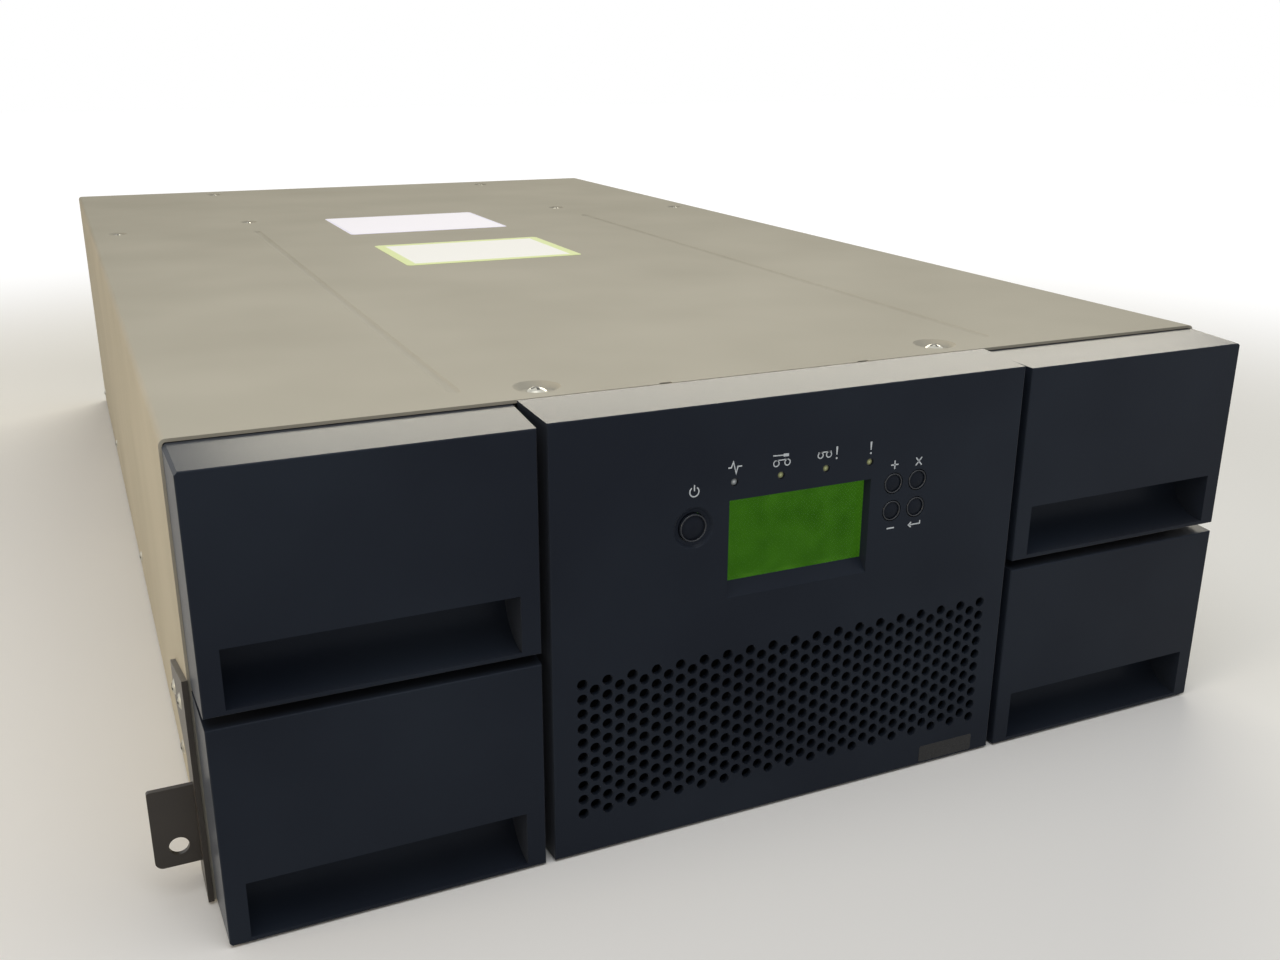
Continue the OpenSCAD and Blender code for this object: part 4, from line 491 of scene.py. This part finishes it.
FINISHES = (
    (cover_paint, "base_pan top_cover"),
    # The frame's near-black is painted shade for the gaps between the bezels.
    (frame_gap_shade, "front_frame"),
    (bezel_abs, "centre_bezel"),
    (key_abs, " ".join(BUTTONS)),
    (clear_window(), "display_window"),
    (display_green(), "display_module"),
    (lamp_lens(), "status_lamps"),
    (circuit_board(), "panel_board"),
    (screw_zinc, "cover_screws side_screws"),
    (bracket_paint, "left_rack_bracket right_rack_bracket"),
    (zinc_steel, "rear_panel left_magazine_bay right_magazine_bay idler_bracket drive_cage "
                 "lower_sled upper_sled power_supply controller_module"),
    (ground_steel, "robot_rails lift_columns lift_screw"),
    (rolled_aluminium, "drive_pulley idler_pulley carriage elevator turntable gripper"),
    (toothed_rubber(), "robot_belt"),
    (motor_lacquer, "belt_motor lift_motor lower_drive upper_drive"),
    (black_nylon, "sled_handles power_inlet power_fan_frame power_fan"),
    (knurled_head(), "thumbscrews"),
    (rocker, "power_switch"),
    (board_with_sockets(), "controller_sockets"),
)
FINISH = {name: finish for finish, names in FINISHES for name in names.split()}
for kind, finish in (("bezel", bezel_abs), ("tray", tray_abs), ("cartridges", cartridge_pc)):
    FINISH.update((f"{name}_{kind}", finish) for name in MAGAZINES)
for name, obj in nodes.items():
    for slot in obj.material_slots:
        slot.material = FINISH[name]


# --- labels -------------------------------------------------------------------

label_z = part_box("top_cover")[1].z


def cover_label(name, x, y, field, edge, border_mm):
    """A thin bare label on the cover; x in mm from the middle, y in mm behind the bezel's front."""
    low, high = [(x[k] * MM, face_y + y[k] * MM) for k in range(2)]
    look = sticker(f"{name}_vinyl", field, edge, low, high, border_mm)
    plate(name, low, high, (2, 1, label_z), 3 * MM, 0.15 * MM, look)


cover_label("cover_label_lilac", (-64.8, 45.2), (471, 561), "#f3f2ff", "#e8e7fb", 2.0)
cover_label("cover_label_white", (-63.0, 45.2), (331, 415), "#eaebea", "#cfdc9c", 6.0)
plate("identity_sticker", (65.3 * MM, 1.7 * MM), (92.9 * MM, 9.2 * MM), (1, -1, face_y),
      0.8 * MM, 0.12 * MM, vinyl)


# --- printed symbols ----------------------------------------------------------

# How far a symbol's middle stands over the middle of its button, lamp or key.
POWER_RISE = 14.1 * MM
LAMP_RISE = 5.8 * MM
UPPER_KEY_RISE = 7.7 * MM
LOWER_KEY_RISE = -7.35 * MM


def printed(name, lines, x, z):
    """A symbol printed on the bezel's face: flat lines in mm round a middle, 0.05 mm proud."""
    flat, faces = joined([(np.insert(e.reshape(-1, 2), 1, 0, 1), f) for e, f in lines])
    verts = flat * MM + np.array([x, face_y - 0.05 * MM, z])
    piece(name, verts, faces, ink, smooth=False)


def key_middle(node):
    """Middle of a key or button, across and up."""
    low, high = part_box(node)
    return (low.x + high.x) / 2, (low.z + high.z) / 2


def ring(centre, radius, width):
    """A printed circle of that middle radius."""
    return band(arc(centre, radius, 0, 360, 33)[:-1], width, closed=True)


def bang(x):
    """An exclamation mark 5 mm high: a tapering stroke over a dot."""
    top, foot = 2.5, -0.8
    stroke = np.array([[[x - 0.42, top], [x + 0.42, top]], [[x - 0.22, foot], [x + 0.22, foot]]])
    return [(stroke, grid_faces(2, 2)), ring((x, -top + 0.35), 0.2, 0.4)]


def reels(x, z, radius=1.15, spread=2.4, over=0.0):
    """Two reels and the tape that runs over them, past their middles by over."""
    line = 0.45
    return [ring((x - spread, z), radius, line), ring((x + spread, z), radius, line),
            band([(x - spread - over, z + radius), (x + spread + over, z + radius)], line)]


def bars(width, *strokes):
    """Straight strokes of one width."""
    return [band(stroke, width) for stroke in strokes]


power_x, power_z = key_middle("power_button")
printed("power_symbol", bars(0.5, arc((0, 0), 1.85, 125, 415, 28), [(0, 0.3), (0, 2.6)]),
        power_x, power_z + POWER_RISE)

lamp_wide = lamp_high.z - lamp_low.z
lamp_xs = np.linspace(lamp_low.x + lamp_wide / 2, lamp_high.x - lamp_wide / 2, 4)
lamp_z = (lamp_low.z + lamp_high.z) / 2
pulse = [(-2.85, 0), (-1.6, 0), (-0.75, 2.1), (0.45, -2.4), (1.1, 0.2), (2.85, 0.2)]
brush = bars(0.45, [(-3.9, 2.3), (0.6, 2.05)]) + bars(1.15, [(0.6, 2.05), (2.9, 1.95)])
for x, (name, lines) in zip(lamp_xs, (
        ("activity_symbol", bars(0.55, pulse)),
        ("cleaning_symbol", brush + reels(0, -0.9)),
        ("media_symbol", reels(-1.1, -0.2, 1.12, 1.85, 1.1) + bang(4.3)),
        ("attention_symbol", bang(0)))):
    printed(name, lines, x, lamp_z + LAMP_RISE)

plus = bars(0.55, [(-1.75, 0), (1.75, 0)], [(0, -1.75), (0, 1.75)])
cross = bars(0.55, [(-1.4, -1.6), (1.4, 1.6)], [(-1.4, 1.6), (1.4, -1.6)])
minus = bars(0.6, [(-1.75, 0), (1.75, 0)])
hook = [(-2.4, 0), (2.7, 0), (2.7, 1.3)]
tip = [(-1.5, 1.1), (-2.7, 0), (-1.5, -1.1)]
for name, rise, lines in (
        ("plus", UPPER_KEY_RISE, plus),
        ("cancel", UPPER_KEY_RISE, cross),
        ("minus", LOWER_KEY_RISE, minus),
        ("enter", LOWER_KEY_RISE, bars(0.55, hook) + bars(0.6, tip))):
    x, z = key_middle(f"{name}_key")
    printed(f"{name}_symbol", lines, x, z + rise)


# --- rims of the keys -----------------------------------------------------------

RIM_BEAD = 0.3 * MM


def key_rim(name):
    """A round bead on a key's front edge: a circle of the bead's radius, turned about the key's
    axis at the key's radius less the bead's own. Its middle lies 0.6 of that radius behind the
    key's front, so that it stands 0.4 of it proud."""
    low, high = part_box(name)
    a = np.linspace(0, TAU, 13)
    reach = (high.x - low.x) / 2 - RIM_BEAD
    profile = np.stack([reach + RIM_BEAD * np.cos(a), -RIM_BEAD * np.sin(a)], -1)
    centre = ((low.x + high.x) / 2, low.y + 0.6 * RIM_BEAD, (low.z + high.z) / 2)
    verts, faces = turned(profile, centre, 1, 48)
    piece(f"{name}_rim", verts, faces, rim_abs, body=name)


for name in BUTTONS:
    key_rim(name)


# --- cartridge labels ---------------------------------------------------------

CARTRIDGE_THICK = 21.5 * MM
CARTRIDGE_WIDE = 102 * MM
LABEL_HALF_WIDE = 30.0 * MM
LABEL_HALF_HIGH = 4.9 * MM
LABEL_DEPTH = 0.42 * MM


def cartridge_labels(name):
    """A flat paper label in the label field of each of a magazine's twelve cartridges, three rows
    of four, just under the cartridge's inner end."""
    low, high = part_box(f"{name}_cartridges")
    right = low.x > 0
    x = low.x + LABEL_DEPTH if right else high.x - LABEL_DEPTH
    rise = (high.z - low.z - CARTRIDGE_THICK) / 2
    step = (high.y - low.y - CARTRIDGE_WIDE) / 3
    u, v = np.meshgrid(np.linspace(-1, 1, 9), np.linspace(-1, 1, 3), indexing="ij")
    faces = grid_faces(9, 3)[:, ::-1 if right else 1]
    parts = []
    for row in range(3):
        for column in range(4):
            y = low.y + CARTRIDGE_WIDE / 2 + column * step
            z = low.z + CARTRIDGE_THICK / 2 + row * rise
            spots = (np.full_like(u, x), y + LABEL_HALF_WIDE * u, z + LABEL_HALF_HIGH * v)
            parts.append((np.stack(spots, -1), faces))
    piece(f"{name}_labels", *joined(parts), paper, body=f"{name}_magazine", smooth=False)


for name in MAGAZINES:
    cartridge_labels(name)


# --- screws -------------------------------------------------------------------

def cross_recess(low, high, head_d, axis, out, crown=0.75):
    """The cross recess of a screw's head, as painted shade: flat dark bars where the shade of the
    opening shows.

    Four bars round a hub, 0.3 of the head's width long and 0.15 wide, lie 0.03 mm over the head's
    crown, part of a sphere whose radius is crown times the head's width: at distance r from the
    middle they are radius - sqrt(radius^2 - r^2) lower.
    """
    arm, wide, radius = 0.3 * head_d, 0.075 * head_d, crown * head_d
    across = [(axis + 1) % 3, (axis + 2) % 3]
    short = np.linspace(-wide, wide, 3)
    along, side = np.meshgrid(np.linspace(wide, arm, 5), short, indexing="ij")
    hub = np.meshgrid(short, short, indexing="ij")
    parts = []
    for u, v in [(along, side), (-along, side), (side, along), (side, -along), hub]:
        verts = np.zeros(u.shape + (3,))
        verts[..., across[0]] = (low[across[0]] + high[across[0]]) / 2 + u
        verts[..., across[1]] = (low[across[1]] + high[across[1]]) / 2 + v
        drop = radius - np.sqrt(radius ** 2 - u ** 2 - v ** 2)
        verts[..., axis] = (high if out > 0 else low)[axis] + out * (0.03 * MM - drop)
        turn = np.cross(verts[1, 0] - verts[0, 0], verts[0, 1] - verts[0, 0])[axis] * out
        parts.append((verts, grid_faces(*u.shape)[:, ::1 if turn < 0 else -1]))
    return parts


recesses = []
for low, high in parts_of("cover_screws"):
    recesses += cross_recess(low, high, high[0] - low[0], 2, 1)
for low, high in parts_of("side_screws"):
    recesses += cross_recess(low, high, high[1] - low[1], 0, 1 if high[0] > 0 else -1)
for low, high in parts_of("thumbscrews"):
    recesses += cross_recess(low, high, 0.7 * (high[0] - low[0]), 1, 1, crown=50)
# The recesses are painted shade: dark bars lying on the heads, not hollows.
piece("screw_recess_shade_bars", *joined(recesses), recess_shade, smooth=False)


# --- behind the grille and on the back ------------------------------------------

filter_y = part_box("front_frame")[0].y - 0.1 * MM
filter_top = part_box("panel_board")[0].z - 0.5 * MM
# A black foam sheet behind the grille: painted shade for what is seen through its holes.
plate("grille_shade_filter", (-84 * MM, 6.5 * MM), (84 * MM, filter_top), (1, -1, filter_y),
      4 * MM, 3 * MM, grille_shade_foam)


def socket_contacts():
    """Eight sprung contacts of the network socket: wires that fall 4 mm as they run 9 mm inwards,
    steeply at first and then more gently, as the square root of the way in."""
    low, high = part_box("controller_module")
    socket_x, pitch, half_wire = low.x + 27 * MM, 1.02 * MM, 0.22 * MM
    start_y, start_z = high.y - 1.2 * MM, 25.8 * MM
    side, way = np.meshgrid([-half_wire, half_wire], np.linspace(0, 1, 9), indexing="ij")
    parts = []
    for k in range(8):
        x = socket_x + (k - 3.5) * pitch
        wire_y, wire_z = start_y - 9 * MM * way, start_z - 4 * MM * np.sqrt(way)
        parts.append((np.stack([x + side, wire_y, wire_z], -1), grid_faces(2, 9)))
    piece("socket_contacts", *joined(parts), gold)


def sled_lenses():
    """Round status lenses in the holes of the two sleds' faces, each a shallow dome on a short
    barrel: a profile turned about the way to the back."""
    dome = np.array([(1.4, -1.4), (1.4, -0.2), (1.25, 0.15), (0.8, 0.4), (0.02, 0.5)]) * MM
    below_top = 10.5 * MM
    parts = []
    for node in ("lower_sled", "upper_sled"):
        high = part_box(node)[1]
        for x_mm in (-30, -22, -14):
            parts.append(turned(dome, (x_mm * MM, high.y, high.z - below_top), 1, 20))
    piece("sled_lenses", *joined(parts), sled_lens)


socket_contacts()
sled_lenses()


# --- stage --------------------------------------------------------------------

def seen_rays(tree):
    """One for the rays that show the surroundings, straight, in gloss or through glass, else
    nought."""
    rays = add(tree, "LightPath")
    gloss = add(tree, "Math", {0: rays["Is Camera Ray"], 1: rays["Is Glossy Ray"]},
                operation="MAXIMUM")[0]
    return add(tree, "Math", {0: gloss, 1: rays["Is Transmission Ray"]}, operation="MAXIMUM")[0]


def stage_floor():
    """A plain pale floor, 12 m across. To the camera it shines as white as the background beyond
    1.3 m, so that only the shadow near the cabinet shows."""
    half, under = 6, -0.2 * MM
    u, v = np.meshgrid(np.linspace(-half, half, 3), np.linspace(-half, half, 3), indexing="ij")
    mesh = bpy.data.meshes.new("floor")
    mesh.from_pydata(np.stack([u, v, np.full_like(u, under)], -1).reshape(-1, 3), [],
                     [tuple(f) for f in grid_faces(3, 3)])
    mat, tree, where = material("matt_white_board")
    away = add(tree, "VectorMath", {0: where}, operation="LENGTH")["Value"]
    far = add(tree, "MapRange", {"Value": away, "From Min": 0.55, "From Max": 1.3},
              interpolation_type="SMOOTHSTEP")["Result"]
    glow = add(tree, "Math", {0: far, 1: seen_rays(tree)}, operation="MULTIPLY")[0]
    mesh.materials.append(shaded(
        mat, Roughness=0.9, Specular_IOR_Level=0.1,
        Base_Color=add(tree, "ValToRGB", {"Fac": glow},
                       ((0.0, "#f4f4f3"), (1.0, "#1c1c1c")))["Color"],
        Emission_Color=(1, 1, 1, 1), Emission_Strength=glow))
    floor = bpy.data.objects.new("floor", mesh)
    bpy.context.scene.collection.objects.link(floor)


def lamp(name, at, aim, size, radiance, tint="#ffffff"):
    """A soft lamp at a place, looking at a point: size is its width and height, and its power
    follows from the light that each square metre of it sends out. The camera doesn't see it."""
    light = bpy.data.lights.new(name, "AREA")
    light.shape, light.size, light.size_y = "RECTANGLE", *size
    light.color = paint_value(tint)[:3]
    light.energy = radiance * math.pi * size[0] * size[1]
    obj = bpy.data.objects.new(name, light)
    obj.location = at
    obj.visible_camera = False
    way = np.array(aim) - np.array(at)
    tilt = math.acos(-way[2] / np.linalg.norm(way))
    obj.rotation_euler = (tilt, 0, math.atan2(way[1], way[0]) - math.pi / 2)
    bpy.context.scene.collection.objects.link(obj)


def surroundings():
    """A white background wherever it is seen, and a soft grey light for the rest."""
    world = bpy.data.worlds.new("studio")
    bpy.context.scene.world = world
    world.use_nodes = True
    tree = world.node_tree
    level = add(tree, "MapRange", {
        "Value": seen_rays(tree), "To Min": 0.3, "To Max": 1.0})["Result"]
    wire(tree, tree.nodes["Background"], {"Color": (1, 1, 1, 1), "Strength": level})


def camera():
    """A short lens in front of the left-hand side, looking a little down over the top."""
    data = bpy.data.cameras.new("camera")
    data.sensor_fit, data.sensor_width, data.lens = "HORIZONTAL", 36, 35.45
    data.clip_start = 0.01
    obj = bpy.data.objects.new("camera", data)
    obj.location = (-0.24394, -0.78334, 0.29262)
    obj.rotation_euler = [math.radians(a) for a in (71.192, -0.268, -24.589)]
    bpy.context.scene.collection.objects.link(obj)
    bpy.context.scene.camera = obj


bpy.context.scene.view_settings.view_transform = "Standard"
stage_floor()
surroundings()
camera()
lamp("key_softbox", (-0.15, -0.62, 0.95), (0, -0.42, 0.15), (1.0, 0.7), 2.1)
lamp("back_strip", (1.75, 2.9, 1.63), (0, -0.38, 0.17), (3.6, 0.6), 13.0, "#fff8e4")
lamp("left_softbox", (-1.95, -0.55, 0.42), (-0.24, -0.2, 0.1), (1.2, 0.5), 8.0, "#ffe8c2")
